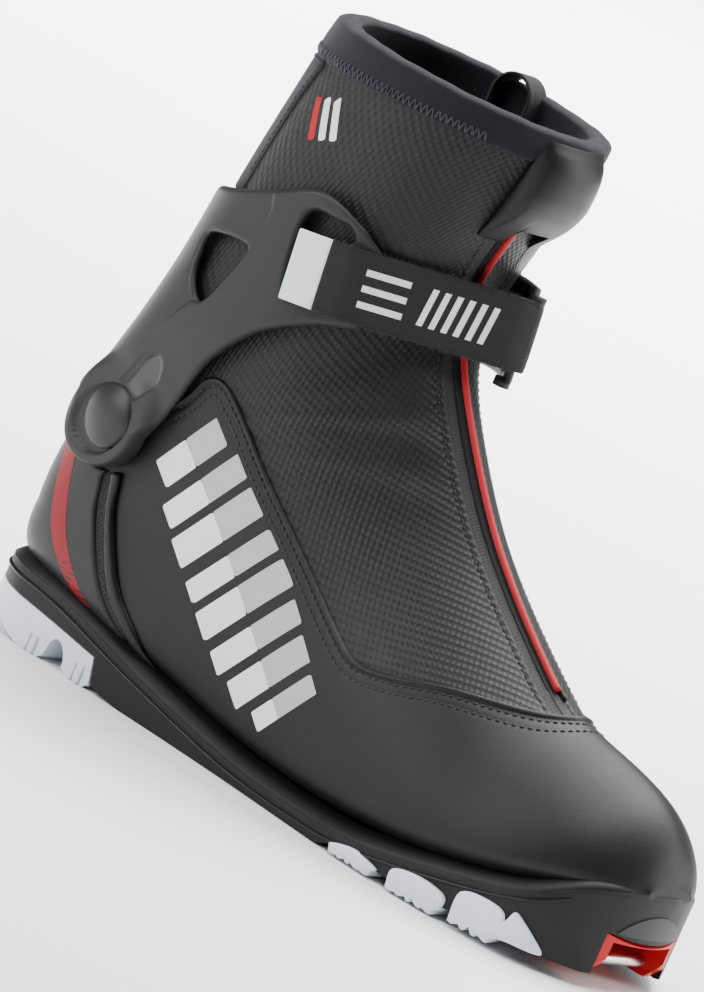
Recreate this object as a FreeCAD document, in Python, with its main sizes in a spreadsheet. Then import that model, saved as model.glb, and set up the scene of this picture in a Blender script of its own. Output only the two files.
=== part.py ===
import FreeCAD, Part
import math
import os

from FreeCAD import Placement, Rotation, Vector

# Cross country skate boot, right foot. Working frame of the shapes: x runs from the back of the heel to
# the toe, the outer (lateral) side of the foot is -y, the ground is z = 0. Every sub-part's Placement then
# moves it to the row frame, whose origin is on the ground under the middle of the boot.

os.makedirs("parts", exist_ok=True)
doc = FreeCAD.newDocument("cross_country_boot")

# ------------------------------------------------------------------ driving dimensions
DIMENSIONS = {
    "heel_to_middle": 156.48, "side_to_middle": -0.63,
    "pivot_x": 47.0, "pivot_z": 88.5, "pivot_pin_radius": 5.0, "pivot_bore_radius": 5.05,
    "boss_radius": 11.0, "boss_face_y": 41.5, "cuff_plate_radius": 17.0,
    "cuff_plate_inner_y": 41.8, "cuff_plate_outer_y": 45.3, "cap_radius": 11.0, "cap_rise": 3.2,
    "upper_thickness": 2.0, "overlay_rise": 0.6, "liner_outer": 2.3, "liner_inner": 6.8,
    "counter_inner": 0.8, "counter_outer": 2.6, "cuff_inner": 3.0, "cuff_outer": 6.0,
    "root_ray_front": 12.0, "shaft_ray_front": 30.0, "root_ray_back": 150.0, "shaft_ray_back": 140.0,
    "pivot_disc_radius": 14.0, "pivot_notch_radius": 15.0,
    "collar_seam_z": 236.0, "binding_bottom_z": 230.5,
    "zip_tape_half_width": 9.5, "zip_slot_half_width": 9.7, "piping_radius": 1.2, "coil_half_width": 2.4,
    "toe_bar_radius": 2.0, "toe_bar_width": 33.0, "toe_bar_x": 294.0, "toe_bar_z": 8.5,
    "housing_half_width": 20.0, "housing_wall": 3.4, "jaw_roof_z": 17.5,
    "sole_margin": 1.6, "guide_groove_depth": 3.0, "guide_groove_half_width": 3.0,
    "strap_width": 25.0, "strap_thickness": 1.4, "strap_base_thickness": 1.2,
    "fold_x": 153.6, "fold_y": 9.75, "strap_mid_z": 171.0,
    "eyelet_radius": 2.4, "eyelet_hole_radius": 1.3, "eyelet_height": 0.9, "lace_radius": 0.8,
    "slider_width": 6.2, "slider_length": 11.0, "slider_thickness": 1.6, "slider_lift": 0.9,
    "bridge_width": 2.4, "bridge_height": 2.0, "bridge_hole_radius": 0.75,
    "pull_length": 13.0, "pull_width": 6.0, "pull_thickness": 1.0, "pull_bar_radius": 0.45,
    "slot_clearance": 0.3, "rivet_radius": 2.4, "rivet_length": 6.0, "rivet_clearance": 0.05,
}

sheet = doc.addObject("Spreadsheet::Sheet", "Dimensions")
for row, (alias, number) in enumerate(DIMENSIONS.items(), start=1):
    sheet.set("A%d" % row, alias)
    sheet.set("B%d" % row, str(number))
    sheet.setAlias("B%d" % row, alias)
doc.recompute()


def dim(alias):
    """A driving dimension, read back from the sheet."""
    return float(sheet.get(alias))


MIDDLE = Placement(Vector(-dim("heel_to_middle"), -dim("side_to_middle"), 0), Rotation())
SIDES = {"lateral": -1, "medial": 1}
SUBPARTS = []


# ------------------------------------------------------------------ small helpers
def keep(name, shape):
    """Store a finished shape as the sub-part called name."""
    part = doc.addObject("Part::Feature", name)
    part.Label = name
    part.Shape = solid_group(shape)
    part.Placement = MIDDLE.multiply(part.Shape.Placement)
    SUBPARTS.append(part)
    return part


def solid_group(shape):
    """One solid, or a compound of the separate solids that a boolean left."""
    solids = [piece for piece in shape.Solids if piece.Volume > 0.5]
    return solids[0] if len(solids) == 1 else Part.makeCompound(solids)


def flat(points):
    """Side view points (x, z) as vectors in the plane y = 0."""
    return [Vector(x, 0, z) for x, z in points]


def outline(*runs):
    """A closed side view face. Each run starts where the last one ended; more than two points bend."""
    edges = []
    for run in runs:
        if len(run) == 2:
            edges.append(Part.makeLine(*flat(run)))
        else:
            curve = Part.BSplineCurve()
            curve.interpolate(flat(run))
            edges.append(curve.toShape())
    first, last = runs[0][0], runs[-1][-1]
    if math.dist(first, last) > 1e-6:
        edges.append(Part.makeLine(*flat([last, first])))
    return Part.Face(Part.Wire(edges))


def prism(face, y_from=-80.0, y_to=80.0):
    """Extrude a side view face across the boot."""
    moved = face.copy()
    moved.translate(Vector(0, y_from, 0))
    return moved.extrude(Vector(0, y_to - y_from, 0))


def polygon(*points):
    return outline(*[[points[i], points[(i + 1) % len(points)]] for i in range(len(points))])


def disc(radius, x, z, y_from, y_to):
    """A cylinder across the boot."""
    return Part.makeCylinder(radius, y_to - y_from, Vector(x, y_from, z), Vector(0, 1, 0))


def block(x_from, x_to, y_from, y_to, z_from, z_to):
    return Part.makeBox(x_to - x_from, y_to - y_from, z_to - z_from, Vector(x_from, y_from, z_from))


def smooth(stops, values, at):
    """Cubic through the given stops, with slopes from their neighbours."""
    at = min(max(at, stops[0]), stops[-1])
    last = len(stops) - 1
    slopes = [(values[i + 1] - values[i]) / (stops[i + 1] - stops[i]) for i in range(last)]
    tangents = [slopes[0]]
    for i in range(1, last):
        before, after = stops[i] - stops[i - 1], stops[i + 1] - stops[i]
        tangents.append((slopes[i - 1] * after + slopes[i] * before) / (before + after))
    tangents.append(slopes[-1])
    i = max(k for k in range(last) if stops[k] <= at or k == 0)
    span = stops[i + 1] - stops[i]
    u = (at - stops[i]) / span
    return ((2 * u**3 - 3 * u**2 + 1) * values[i] + (u**3 - 2 * u**2 + u) * span * tangents[i]
            + (3 * u**2 - 2 * u**3) * values[i + 1] + (u**3 - u**2) * span * tangents[i + 1])


def ease(number):
    number = min(max(number, 0.0), 1.0)
    return number * number * (3 - 2 * number)


def cord(path, radius, start):
    """A round cord swept along a spline from its start."""
    circle = Part.makeCircle(radius, start, path.tangent(path.FirstParameter)[0])
    return Part.Wire([path.toShape()]).makePipeShell([Part.Wire([circle])], True, False)


# ------------------------------------------------------------------ the last: the boot's outer surface
# Sections fan out from the toe tip to the collar. Each runs from the crest line (toe, instep, shin) to the
# back line (sole, heel, calf): crest x, crest z, back x, back z, rounding at the crest and at the back.
STATIONS = [
    (303.8, 39, 303.8, 34, 3, 3),
    (302.3, 47, 302.5, 30, 12, 6),
    (297.0, 55, 297.5, 28, 22, 8),
    (284.5, 63, 285.0, 24, 32, 10),
    (265.0, 68, 265.0, 18, 42, 10),
    (243.0, 72, 240.0, 12, 48, 10),
    (221.0, 85, 211.0, 8.5, 56, 10),
    (201.0, 99, 177.0, 6.5, 62, 10),
    (184.0, 113, 140.0, 8, 66, 10),
    (169.0, 128.5, 98.0, 14, 68, 10),
    (155.5, 144, 50.0, 20, 68, 12),
    (145.0, 158, 14.5, 25, 64, 20),
    (139.0, 172, 9.0, 50, 58, 34),
    (138.0, 186, 13.0, 80, 54, 42),
    (141.5, 201, 23.0, 110, 52, 46),
    (145.6, 214, 31.0, 145, 52, 48),
    (149.6, 227, 36.0, 183, 52, 48),
    (153.0, 240, 48.0, 244.5, 52, 50),
]
STEPS = [i / (len(STATIONS) - 1) for i in range(len(STATIONS))]
# Half widths of the foot by x, for each side, and of the shaft by z.
FOOT_X = [0, 9, 20, 45, 80, 120, 160, 195, 222, 248, 270, 286, 295, 301, 305]
FOOT_WIDTH = {-1: [19, 25, 30.5, 34.5, 36.5, 38, 41, 45, 47, 45.5, 41.5, 34.5, 26.5, 18, 9],
              1: [19, 25, 30.5, 34, 34.5, 35, 38, 43.5, 46.5, 45.5, 42, 35.5, 28, 19.5, 10]}
SHAFT_Z = [60, 90, 120, 150, 180, 210, 240]
SHAFT_WIDTH = [37, 40, 42, 43, 43, 45, 47]
# Power 2 rounds a section like an ellipse; less makes the instep a narrower ridge.
INSTEP_POWER, SHAFT_POWER, BACK_POWER = 1.6, 2.0, 2.0
SIDE_POINTS = 14
RINGS = 36


def half_width(x, z, side):
    foot = smooth(FOOT_X, FOOT_WIDTH[side], x)
    shaft = smooth(SHAFT_Z, SHAFT_WIDTH, z)
    share = ease((z - 50) / 65) * ease((200 - x) / 60)
    return foot * (1 - share) + shaft * share


def rounding(distance, radius, power):
    part = min(max(1 - distance / radius, 0.0), 1.0)
    return (1 - part**power) ** (1 / power)


def crest_power(step):
    return INSTEP_POWER + (SHAFT_POWER - INSTEP_POWER) * ease((step * 17 - 10) / 3)


def station(step):
    return [smooth(STEPS, [line[column] for line in STATIONS], step) for column in range(6)]


def surface_point(step, turn, side, offset, forward=0.0):
    """Point on the layer at offset; turn runs from 0 at the crest to 1 at the back line."""
    crest_x, crest_z, back_x, back_z, crest_round, back_round = station(step)
    length = math.hypot(back_x - crest_x, back_z - crest_z)
    along_x, along_z = (back_x - crest_x) / length, (back_z - crest_z) / length
    share = (1 - math.cos(math.pi * turn)) / 2
    x, z = crest_x + along_x * length * share, crest_z + along_z * length * share
    width = (half_width(x, z, side) * rounding(length * share, crest_round, crest_power(step))
             * rounding(length * (1 - share), back_round, BACK_POWER))
    outward = 1 - 2 * share
    width += offset * math.sqrt(max(0.0, 1 - outward**2))
    return Vector(x - along_x * offset * outward + forward, side * width, z - along_z * offset * outward)


def toe_step(offset):
    """The step at which an inner layer starts, that far behind the toe tip."""
    step = 0.0
    while STATIONS[0][0] - station(step)[0] < -offset:
        step += 0.002
    return step


def ring(step, offset, forward=0.0):
    """Control points once round the boot, from the crest down the outer side and up the inner side."""
    outer = [surface_point(step, i / SIDE_POINTS, -1, offset, forward) for i in range(SIDE_POINTS + 1)]
    inner = [surface_point(step, i / SIDE_POINTS, 1, offset, forward) for i in range(SIDE_POINTS - 1, 0, -1)]
    return outer + inner


def layer_solid(offset):
    """Everything inside the surface that lies offset outside the last."""
    first = toe_step(offset)
    steps = [first + (1 - first) * i / (RINGS - 1) for i in range(RINGS)]
    poles = [ring(step, offset, max(offset, 0.0) if i == 0 else 0.0) for i, step in enumerate(steps)]
    spans, around = RINGS - 3, len(poles[0])
    surface = Part.BSplineSurface()
    surface.buildFromPolesMultsKnots(poles, [4] + [1] * (spans - 1) + [4], [1] * (around + 1),
                                     list(range(spans + 1)), list(range(around + 1)), False, True, 3, 3)
    side = surface.toShape()
    rims = [edge for edge in side.Edges if edge.isClosed() and edge.BoundBox.YLength > 20]
    caps = [Part.Face(Part.Wire([rim])) for rim in rims]
    closed = Part.makeShell([side] + caps)
    closed.sewShape()
    return Part.makeSolid(closed)


LAYERS = {}


def inside(offset):
    if offset not in LAYERS:
        LAYERS[offset] = layer_solid(offset)
    return LAYERS[offset]


def shell(outer, inner, region):
    """The part between two offsets of the last that lies within a region."""
    return inside(outer).common(region).cut(inside(inner))


# ------------------------------------------------------------------ regions of the upper, in side view
PIVOT = (dim("pivot_x"), dim("pivot_z"))
FAR = 320.0


def ray(angle, reach=FAR):
    """The point that far from the ankle pivot, at an angle above the toe direction."""
    return (PIVOT[0] + reach * math.cos(math.radians(angle)),
            PIVOT[1] + reach * math.sin(math.radians(angle)))


pivot_disc = disc(dim("pivot_disc_radius"), *PIVOT, -80, 80)
pivot_notch = disc(dim("pivot_notch_radius"), *PIVOT, -80, 80)
root_region = prism(polygon(PIVOT, ray(dim("root_ray_front")), (FAR + 50, -40), (-80, -40),
                            ray(dim("root_ray_back"), 160))).fuse(pivot_disc)
shaft_region = prism(polygon(PIVOT, ray(dim("shaft_ray_front")), (FAR, 400), (-160, 400),
                             ray(dim("shaft_ray_back"), 200))).cut(pivot_notch)
flex_region = (block(-90, 400, -80, 80, -40, 400).cut(root_region)
               .cut(prism(polygon(PIVOT, ray(dim("shaft_ray_front")), (FAR, 400), (-160, 400),
                                  ray(dim("shaft_ray_back"), 200)))).cut(pivot_notch))

# The smooth overlay covers everything under its border: toe, side panel and heel.
overlay_border = [(252, 78), (240, 70.5), (214, 66), (196, 61)]
overlay_corner = [(196, 61), (181, 59), (168, 64)]
overlay_rise_line = [(168, 64), (143, 79), (117, 96), (87, 117), (60, 140)]
overlay_region = prism(outline(overlay_border, overlay_corner, overlay_rise_line, [(60, 140), (-20, 140)],
                               [(-20, 140), (-20, -20)], [(-20, -20), (330, -20)], [(330, -20), (330, 110)],
                               [(330, 110), (252, 78)]))
zip_gap = block(60, 242, -dim("zip_slot_half_width"), dim("zip_slot_half_width"), 60, 250)
front_half = prism(polygon((242, 55), (242, 400), (100, 400), (100, 120), (150, 100), (190, 80)))
zip_band = front_half.common(block(60, 260, -dim("zip_tape_half_width"), dim("zip_tape_half_width"), 50, 250))
zip_cut = front_half.common(zip_gap)
below_collar = block(-60, 400, -90, 90, -40, dim("collar_seam_z"))


# ------------------------------------------------------------------ upper
skin = -dim("upper_thickness")
overlay = shell(dim("overlay_rise"), skin, overlay_region.common(root_region))
softshell_all = shell(0.0, skin, below_collar.cut(overlay_region.common(root_region)).cut(zip_cut))
boss_hole = disc(dim("boss_radius"), *PIVOT, -80, 80)

toe_end = block(196, 400, -90, 90, -40, 400)
heel_end = block(-60, 44, -90, 90, -40, 400)
outer_half = block(-60, 400, -90, 0, -40, 400)
inner_half = block(-60, 400, 0, 90, -40, 400)
side_overlay = overlay.cut(boss_hole).cut(toe_end).cut(heel_end)
keep("vamp_toe", overlay.common(toe_end))
keep("vamp_lateral", side_overlay.common(outer_half))
keep("vamp_medial", side_overlay.common(inner_half))
keep("vamp_heel", overlay.common(heel_end).cut(boss_hole))
keep("quarter_softshell", softshell_all.common(root_region).cut(boss_hole))
keep("ankle_flex_softshell", softshell_all.common(flex_region))
keep("shaft_softshell_lateral", softshell_all.common(shaft_region).common(outer_half))
keep("shaft_softshell_medial", softshell_all.common(shaft_region).common(inner_half))

# ------------------------------------------------------------------ lasting board, footbed and liner
SOLE_LINE = [(line[2], line[3]) for line in reversed(STATIONS[:12])]


def above_sole(rise):
    """Region above a line that follows the underside of the last."""
    run = [(x, z + rise) for x, z in SOLE_LINE]
    back, front = run[0], run[-1]
    ahead = front[0] + 30
    return prism(outline(run, [front, (ahead, front[1])], [(ahead, front[1]), (ahead, 300)],
                         [(ahead, 300), (-60, 300)], [(-60, 300), (-60, back[1])], [(-60, back[1]), back]))


everything = block(-60, 400, -90, 90, -40, 300)
board_top, footbed_top = 6.9, 10.4
below_board = everything.cut(above_sole(board_top))
below_footbed = everything.cut(above_sole(footbed_top))
keep("lasting_board", inside(-dim("liner_outer")).common(below_board))
keep("footbed", inside(-dim("liner_inner") - 0.3).common(below_footbed).cut(below_board))

liner_out, liner_in = -dim("liner_outer"), -dim("liner_inner")
lace_bay_region = prism(polygon((236, 58), (236, 130), (150, 250), (120, 250), (120, 150), (158, 104),
                                (196, 74)))
lace_bay = shell(liner_out, -4.6, lace_bay_region.common(block(100, 260, -26, 26, 50, 260)))
throat = lace_bay_region.common(block(100, 260, -8, 8, 50, 226))
pin_pocket_y = 33.4
pin_pocket = disc(dim("boss_radius") + 0.5, *PIVOT, -60, 60).cut(
    disc(dim("boss_radius") + 1.0, *PIVOT, -pin_pocket_y, pin_pocket_y))
liner = shell(liner_out, liner_in, above_sole(board_top).common(below_collar))
liner = liner.cut(lace_bay).cut(throat).cut(pin_pocket)
keep("liner_foot", liner.common(root_region))
keep("liner_ankle", liner.common(flex_region))
keep("liner_shaft", liner.common(shaft_region))

tongue_region = prism(outline([(232, 60), (200, 84), (168, 108), (150, 130), (120, 175), (124, 232)],
                              [(124, 232), (170, 232)], [(170, 232), (260, 90)], [(260, 90), (232, 60)]))
tongue_region = tongue_region.common(block(60, 300, -40, 40, 40, dim("binding_bottom_z") - 1))
keep("tongue", shell(-7.2, -9.8, tongue_region.common(block(90, 260, -25, 25, 50, 250))))

# ------------------------------------------------------------------ speed laces under the zip
LACE_ROWS = 5


def lace_row(number):
    """Crest step of one lace row: even spacing from the vamp up the instep."""
    first_step, last_step = 6.1 / 17, 8.9 / 17
    return first_step + (last_step - first_step) * number / (LACE_ROWS - 1)


LACE_DEPTH = -3.75
lace_pieces, eyelet_pieces = [], []
for number in range(LACE_ROWS):
    row_step = lace_row(number)
    for side in SIDES.values():
        below, above = (surface_point(row_step, 0.225, side, depth) for depth in (-4.1, -3.1))
        axis = above - below
        ring_solid = (Part.makeCylinder(dim("eyelet_radius"), dim("eyelet_height"), below, axis)
                      .cut(Part.makeCylinder(dim("eyelet_hole_radius"), dim("eyelet_height"), below, axis)))
        eyelet_pieces.append(ring_solid)
    turns = [(0.165, -1), (0.12, -1), (0.06, -1), (0.0, 1), (0.06, 1), (0.12, 1), (0.165, 1)]
    stops = [surface_point(row_step, turn, side, LACE_DEPTH) for turn, side in turns]
    path = Part.BSplineCurve()
    path.interpolate(stops)
    lace_pieces.append(cord(path, dim("lace_radius"), stops[0]))
keep("laces", Part.makeCompound(lace_pieces))
keep("lace_eyelets", Part.makeCompound(eyelet_pieces))

# ------------------------------------------------------------------ zip: tape in three spans, coil and piping
tape = shell(-0.3, -1.5, zip_band.common(below_collar).cut(overlay_region))
# Across the zip everything but the tape is centred a little inwards, beside the piping.
zip_middle_y = 1.6
coil_half = dim("coil_half_width")
coil_band = front_half.common(block(60, 258, zip_middle_y - coil_half, zip_middle_y + coil_half, 50, 250))
coil = shell(0.5, -0.2, coil_band.common(below_collar))
span_regions = {"lower": root_region, "ankle": flex_region, "upper": shaft_region}
for span, region in span_regions.items():
    keep("zip_tape_" + span, tape.common(region))
keep("zip_coil_lower", coil.common(root_region))
below_binding = block(0, 300, -30, 30, 0, dim("binding_bottom_z") - 1)
keep("zip_coil_upper", coil.common(shaft_region).common(below_binding))


PIPING_Y = -3.0


def piping(first_step, last_step, count):
    """A round cord along the crest, just outside the tape."""
    points = []
    for i in range(count):
        step = first_step + (last_step - first_step) * i / (count - 1)
        crest = surface_point(step, 0.0, 1, dim("piping_radius"))
        points.append(Vector(crest.x, PIPING_Y, crest.z))
    path = Part.BSplineCurve()
    path.interpolate(points)
    return cord(path, dim("piping_radius"), points[0])


keep("zip_piping_lower", piping(5.25 / 17, 7.6 / 17, 7))
keep("zip_piping_upper", piping(11.0 / 17, 14.2 / 17, 7))

# ------------------------------------------------------------------ heel counter with its side slot
FEATHER = [(-4, 24), (25, 25), (54, 22.6), (93, 15), (130, 9), (155, 6.4), (185, 6.2), (212, 8), (257, 17),
           (281, 24), (297, 33), (312, 37)]
counter_front = [(57, 72), (61, 58), (75, 38), (90, 26.6), (104, 15)]
slot_front = [(53, 72), (58, 56), (71, 36), (86, 24), (96, 16)]
slot_back = [(49, 68), (53, 54), (66, 35), (81, 23), (88, 17)]


def counter_outline(front_line, top_points):
    return outline([(-10, 24), (25, 25), (54, 22.6), front_line[-1]], list(reversed(front_line)),
                   [front_line[0], top_points[0]], *[[top_points[i], top_points[i + 1]]
                                                      for i in range(len(top_points) - 1)],
                   [top_points[-1], (-10, top_points[-1][1])], [(-10, top_points[-1][1]), (-10, 24)])


counter_top = [(52, 74), (32, 95), (20, 99)]
arm_clearance = disc(dim("cuff_plate_radius") + 1.6, *PIVOT, -80, 80)
above_feather = prism(outline(FEATHER, [FEATHER[-1], (330, 200)], [(330, 200), (-40, 200)],
                              [(-40, 200), (-40, 24)], [(-40, 24), FEATHER[0]]))
counter_inner, counter_outer = dim("counter_inner"), dim("counter_outer")
counter_region = prism(counter_outline(slot_back, counter_top)).common(above_feather).cut(arm_clearance)
counter = shell(counter_outer, counter_inner, counter_region)
lip_region = prism(outline(counter_front, [counter_front[-1], slot_front[-1]], list(reversed(slot_front)),
                           [slot_front[0], counter_front[0]])).common(above_feather).cut(arm_clearance)
slot_region = prism(outline(slot_front, [slot_front[-1], slot_back[-1]], list(reversed(slot_back)),
                            [slot_back[0], slot_front[0]])).common(above_feather).cut(arm_clearance)
boss_inner_y = 35.0
bosses = []
for side in SIDES.values():
    y_from, y_to = sorted([side * boss_inner_y, side * dim("boss_face_y")])
    bosses.append(disc(dim("boss_radius"), *PIVOT, y_from, y_to)
                  .cut(disc(dim("pivot_pin_radius"), *PIVOT, y_from - 1, y_to + 1)))
keep("heel_counter", counter)
keep("counter_slot_mesh", shell(1.7, counter_inner, slot_region))
keep("counter_lip", shell(3.0, counter_inner, lip_region))
keep("pivot_bosses", Part.makeCompound(bosses))
accent_region = prism(outline([(26, 78), (29, 62), (36, 44), (50, 31), (63, 24.8)], [(63, 24.8), (66, 26)],
                              [(66, 26), (56, 33), (44, 45), (36, 62), (33, 80)], [(33, 80), (26, 78)]))
keep("heel_accent_tape", shell(counter_outer + 0.25, counter_outer,
                               accent_region.common(above_feather).cut(arm_clearance)))

# ------------------------------------------------------------------ cuff: two arms joined behind the calf
CUFF_REAR = [(34, 92), (28, 99), (18, 104), (0, 105.5)]
CUFF_TOP = [(0, 171), (30, 174), (57, 179), (78, 185.5), (90, 191), (97, 192.7), (105, 191), (114, 187.5)]
LOW_EDGE = [(121, 152.4), (110, 149.3), (99, 143.2), (91, 137.5), (82, 127.2), (77, 118.6), (70, 99),
            (64, 90)]


def cuff_region(front_x):
    """Side view of one arm; the front edge is at front_x."""
    low = [(front_x, LOW_EDGE[0][1] + 0.5)] + LOW_EDGE[1:]
    return outline(CUFF_TOP, [CUFF_TOP[-1], (front_x, 182)], [(front_x, 182), low[0]], low,
                   [low[-1], (50, 88)], [(50, 88), CUFF_REAR[0]], CUFF_REAR, [CUFF_REAR[-1], (0, 171)])


window = outline([(58, 162.3), (60, 146), (66, 139.6), (72, 148), (76, 160)],
                 [(76, 160), (75, 165)], [(75, 165), (58, 162.3)])
cuff_inner, cuff_outer = dim("cuff_inner"), dim("cuff_outer")
lateral_arm = shell(cuff_outer, cuff_inner, prism(cuff_region(121), -80, 0.01))
medial_arm = shell(cuff_outer, cuff_inner, prism(cuff_region(130), -0.01, 80))
plate_inner, plate_outer = dim("cuff_plate_inner_y"), dim("cuff_plate_outer_y")
cuff_shape = lateral_arm.fuse(medial_arm)
cuff_shape = cuff_shape.cut(prism(window))
for side in SIDES.values():
    y_from, y_to = sorted([side * 20, side * plate_inner])
    cuff_shape = cuff_shape.cut(disc(dim("cuff_plate_radius") + 2, *PIVOT, y_from, y_to))
    y_from, y_to = sorted([side * plate_inner, side * plate_outer])
    cuff_shape = cuff_shape.fuse(disc(dim("cuff_plate_radius"), *PIVOT, y_from, y_to))
    y_from, y_to = sorted([side * plate_outer, side * 70])
    cuff_shape = cuff_shape.cut(disc(dim("cuff_plate_radius"), *PIVOT, y_from, y_to))
    cuff_shape = cuff_shape.cut(disc(dim("pivot_bore_radius"), *PIVOT, -70, 70))


# ------------------------------------------------------------------ strap, and the end of the inner arm
def plan_band(points, thickness, z_from, z_to, side_out):
    """A flat band on edge: a plan path of straight runs, thickened to one side and extruded upward."""
    outer = [Vector(x, y, z_from) for x, y in points]
    shifted = []
    for i, point in enumerate(outer):
        before = outer[max(i - 1, 0)]
        after = outer[min(i + 1, len(outer) - 1)]
        direction = (after - before).normalize()
        shifted.append(point + Vector(direction.y, -direction.x, 0) * thickness * side_out)
    curve_out, curve_in = Part.BSplineCurve(), Part.BSplineCurve()
    curve_out.interpolate(outer)
    curve_in.interpolate(list(reversed(shifted)))
    wire = Part.Wire([curve_out.toShape(), Part.makeLine(outer[-1], shifted[-1]), curve_in.toShape(),
                      Part.makeLine(shifted[0], outer[0])])
    return Part.Face(wire).extrude(Vector(0, 0, z_to - z_from))


strap_half = dim("strap_width") / 2
strap_low, strap_high = dim("strap_mid_z") - strap_half, dim("strap_mid_z") + strap_half
# Strap paths in plan: along the outer arm, then straight across the front to the fold on the inner arm.
TAIL_PATH = [(97, -51.1), (106, -50.8), (114, -49.4), (122, -45.2), (132.4, -30.1), (145.4, -11.9),
             (158.4, 6.3)]
BASE_PATH = [(115.5, -41.0), (121, -37.5), (127, -31.8), (134.2, -23.0), (145.2, -7.6), (156.3, 7.85)]


def strap_layer(points, inward, thickness, trim=0.0):
    """A band of the strap's width along a plan path, set inward from it."""
    moved = []
    for i, (x, y) in enumerate(points):
        before, after = points[max(i - 1, 0)], points[min(i + 1, len(points) - 1)]
        length = math.dist(before, after)
        nx, ny = -(after[1] - before[1]) / length, (after[0] - before[0]) / length
        moved.append((x + nx * inward, y + ny * inward))
    return plan_band(moved, thickness, strap_low + trim, strap_high - trim, -1)


# The whole strap leans: it rises towards the front, as the arm it lies on does.
STRAP_LEAN = Rotation(Vector(0, 1, 0), -7.0)
STRAP_PIVOT = Vector(113, 0, dim("strap_mid_z"))


def lean(shape):
    turned = shape.copy()
    turned.Placement = Placement(Vector(0, 0, -2.6), STRAP_LEAN, STRAP_PIVOT)
    return turned


tail_thickness, base_thickness = dim("strap_thickness"), dim("strap_base_thickness")
tail = strap_layer(TAIL_PATH, 0.0, tail_thickness)
tip_zone = block(90, 110.5, -70, 20, 130, 220)
keep("strap_tail", lean(tail.cut(tip_zone)))
keep("strap_tip", lean(tail.common(tip_zone)))
hook_zone = block(126, 147, -70, 20, 130, 220)
keep("strap_hook_patch", lean(strap_layer(TAIL_PATH, tail_thickness + 0.01, 0.5, 1.5).common(hook_zone)))
base = strap_layer(BASE_PATH, 0.0, base_thickness)

# The fold wraps the bar at the end of the inner arm.
bar_x, bar_y, arm_overhang = dim("fold_x"), dim("fold_y"), 4.5
bar_radius, fold_gap, fork_height = 1.7, 0.2, 3.9
bar = Part.makeCylinder(bar_radius, dim("strap_width") + 2 * arm_overhang,
                        Vector(bar_x, bar_y, strap_low - arm_overhang))
fold_inner = bar_radius + fold_gap
fold_foot = Vector(bar_x, bar_y, strap_low)
fold_ring = (Part.makeCylinder(fold_inner + base_thickness, dim("strap_width"), fold_foot)
             .cut(Part.makeCylinder(fold_inner, dim("strap_width"), fold_foot)))
fold_opening = Part.makeBox(9, 9, 80, Vector(bar_x - 9.2, bar_y - 9.2, strap_low - 20))
rivet_from = Vector(118.2, -38.2, dim("strap_mid_z") - 1.0)
rivet_hole = Part.makeCylinder(dim("rivet_radius") + dim("rivet_clearance"), 12,
                               rivet_from + Vector(0, 4, 0), Vector(0, -1, 0))
strap_base = lean(base.fuse(fold_ring.cut(fold_opening))).cut(rivet_hole)

# Arm end: a plate from the inner arm to the bar, with a loop above and below the webbing.
ARM_PATH = [(115, 46.4), (122, 42.6), (130, 36.2), (139, 27.5), (147.5, 18.6)]
arm_plate = plan_band(ARM_PATH, 3.0, strap_low - arm_overhang, strap_high + arm_overhang, 1)
arm_forks = []
for z_from in (strap_low - arm_overhang, strap_high + arm_overhang - fork_height):
    arm_forks.append(Part.makeCylinder(3.0, fork_height, Vector(bar_x, bar_y, z_from)))
    arm_forks.append(plan_band([(146, 20.4), (150.5, 15.4), (154.8, 10.8)], 3.0, z_from,
                               z_from + fork_height, 1))
arm_end = arm_plate
for piece in arm_forks:
    arm_end = arm_end.fuse(piece)
arm_end = lean(arm_end.fuse(bar))
cuff_shape = cuff_shape.fuse(arm_end).removeSplitter()
strap_slot = lean(block(97.5, 100.3, -60, -40, strap_low - 0.5, strap_high + 0.5))
cuff_shape = cuff_shape.cut(strap_slot).cut(rivet_hole)
keep("cuff", cuff_shape)
keep("strap_base", strap_base.cut(cuff_shape).cut(inside(0.0)))
rivet = doc.addObject("Part::Cylinder", "strap_anchor_rivet")
rivet.Label = "strap_anchor_rivet"
rivet.setExpression("Radius", "Dimensions.rivet_radius")
rivet.setExpression("Height", "Dimensions.rivet_length")
rivet.Placement = MIDDLE.multiply(Placement(rivet_from, Rotation(Vector(1, 0, 0), 90)))
SUBPARTS.append(rivet)

# ------------------------------------------------------------------ pivot pins and caps
pins = []
for side in SIDES.values():
    y_from, y_to = sorted([side * boss_inner_y, side * (plate_outer - 0.3)])
    flange_from, flange_to = sorted([side * (boss_inner_y - 1.2), side * boss_inner_y])
    pins.append(disc(dim("pivot_pin_radius"), *PIVOT, y_from, y_to)
                .fuse(disc(dim("pivot_pin_radius") + 3, *PIVOT, flange_from, flange_to)))
keep("pivot_pins", Part.makeCompound(pins))


def revolved_body(name, points):
    """PartDesign body: a half profile in the XZ plane of the body, turned about its own Z axis."""
    body = doc.addObject("PartDesign::Body", name)
    body.Label = name
    plane = [feature for feature in body.Origin.OriginFeatures if feature.Role == "XZ_Plane"][0]
    sketch = body.newObject("Sketcher::SketchObject", name + "_profile")
    sketch.AttachmentSupport = [(plane, "")]
    sketch.MapMode = "FlatFace"
    for i, (radius, height) in enumerate(points):
        next_radius, next_height = points[(i + 1) % len(points)]
        line = Part.LineSegment(Vector(radius, height, 0), Vector(next_radius, next_height, 0))
        sketch.addGeometry(line, False)
    turn = body.newObject("PartDesign::Revolution", name + "_turn")
    turn.Profile = sketch
    turn.ReferenceAxis = (sketch, ["V_Axis"])
    turn.Angle = 360
    body.Tip = turn
    doc.recompute()
    return body


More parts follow.
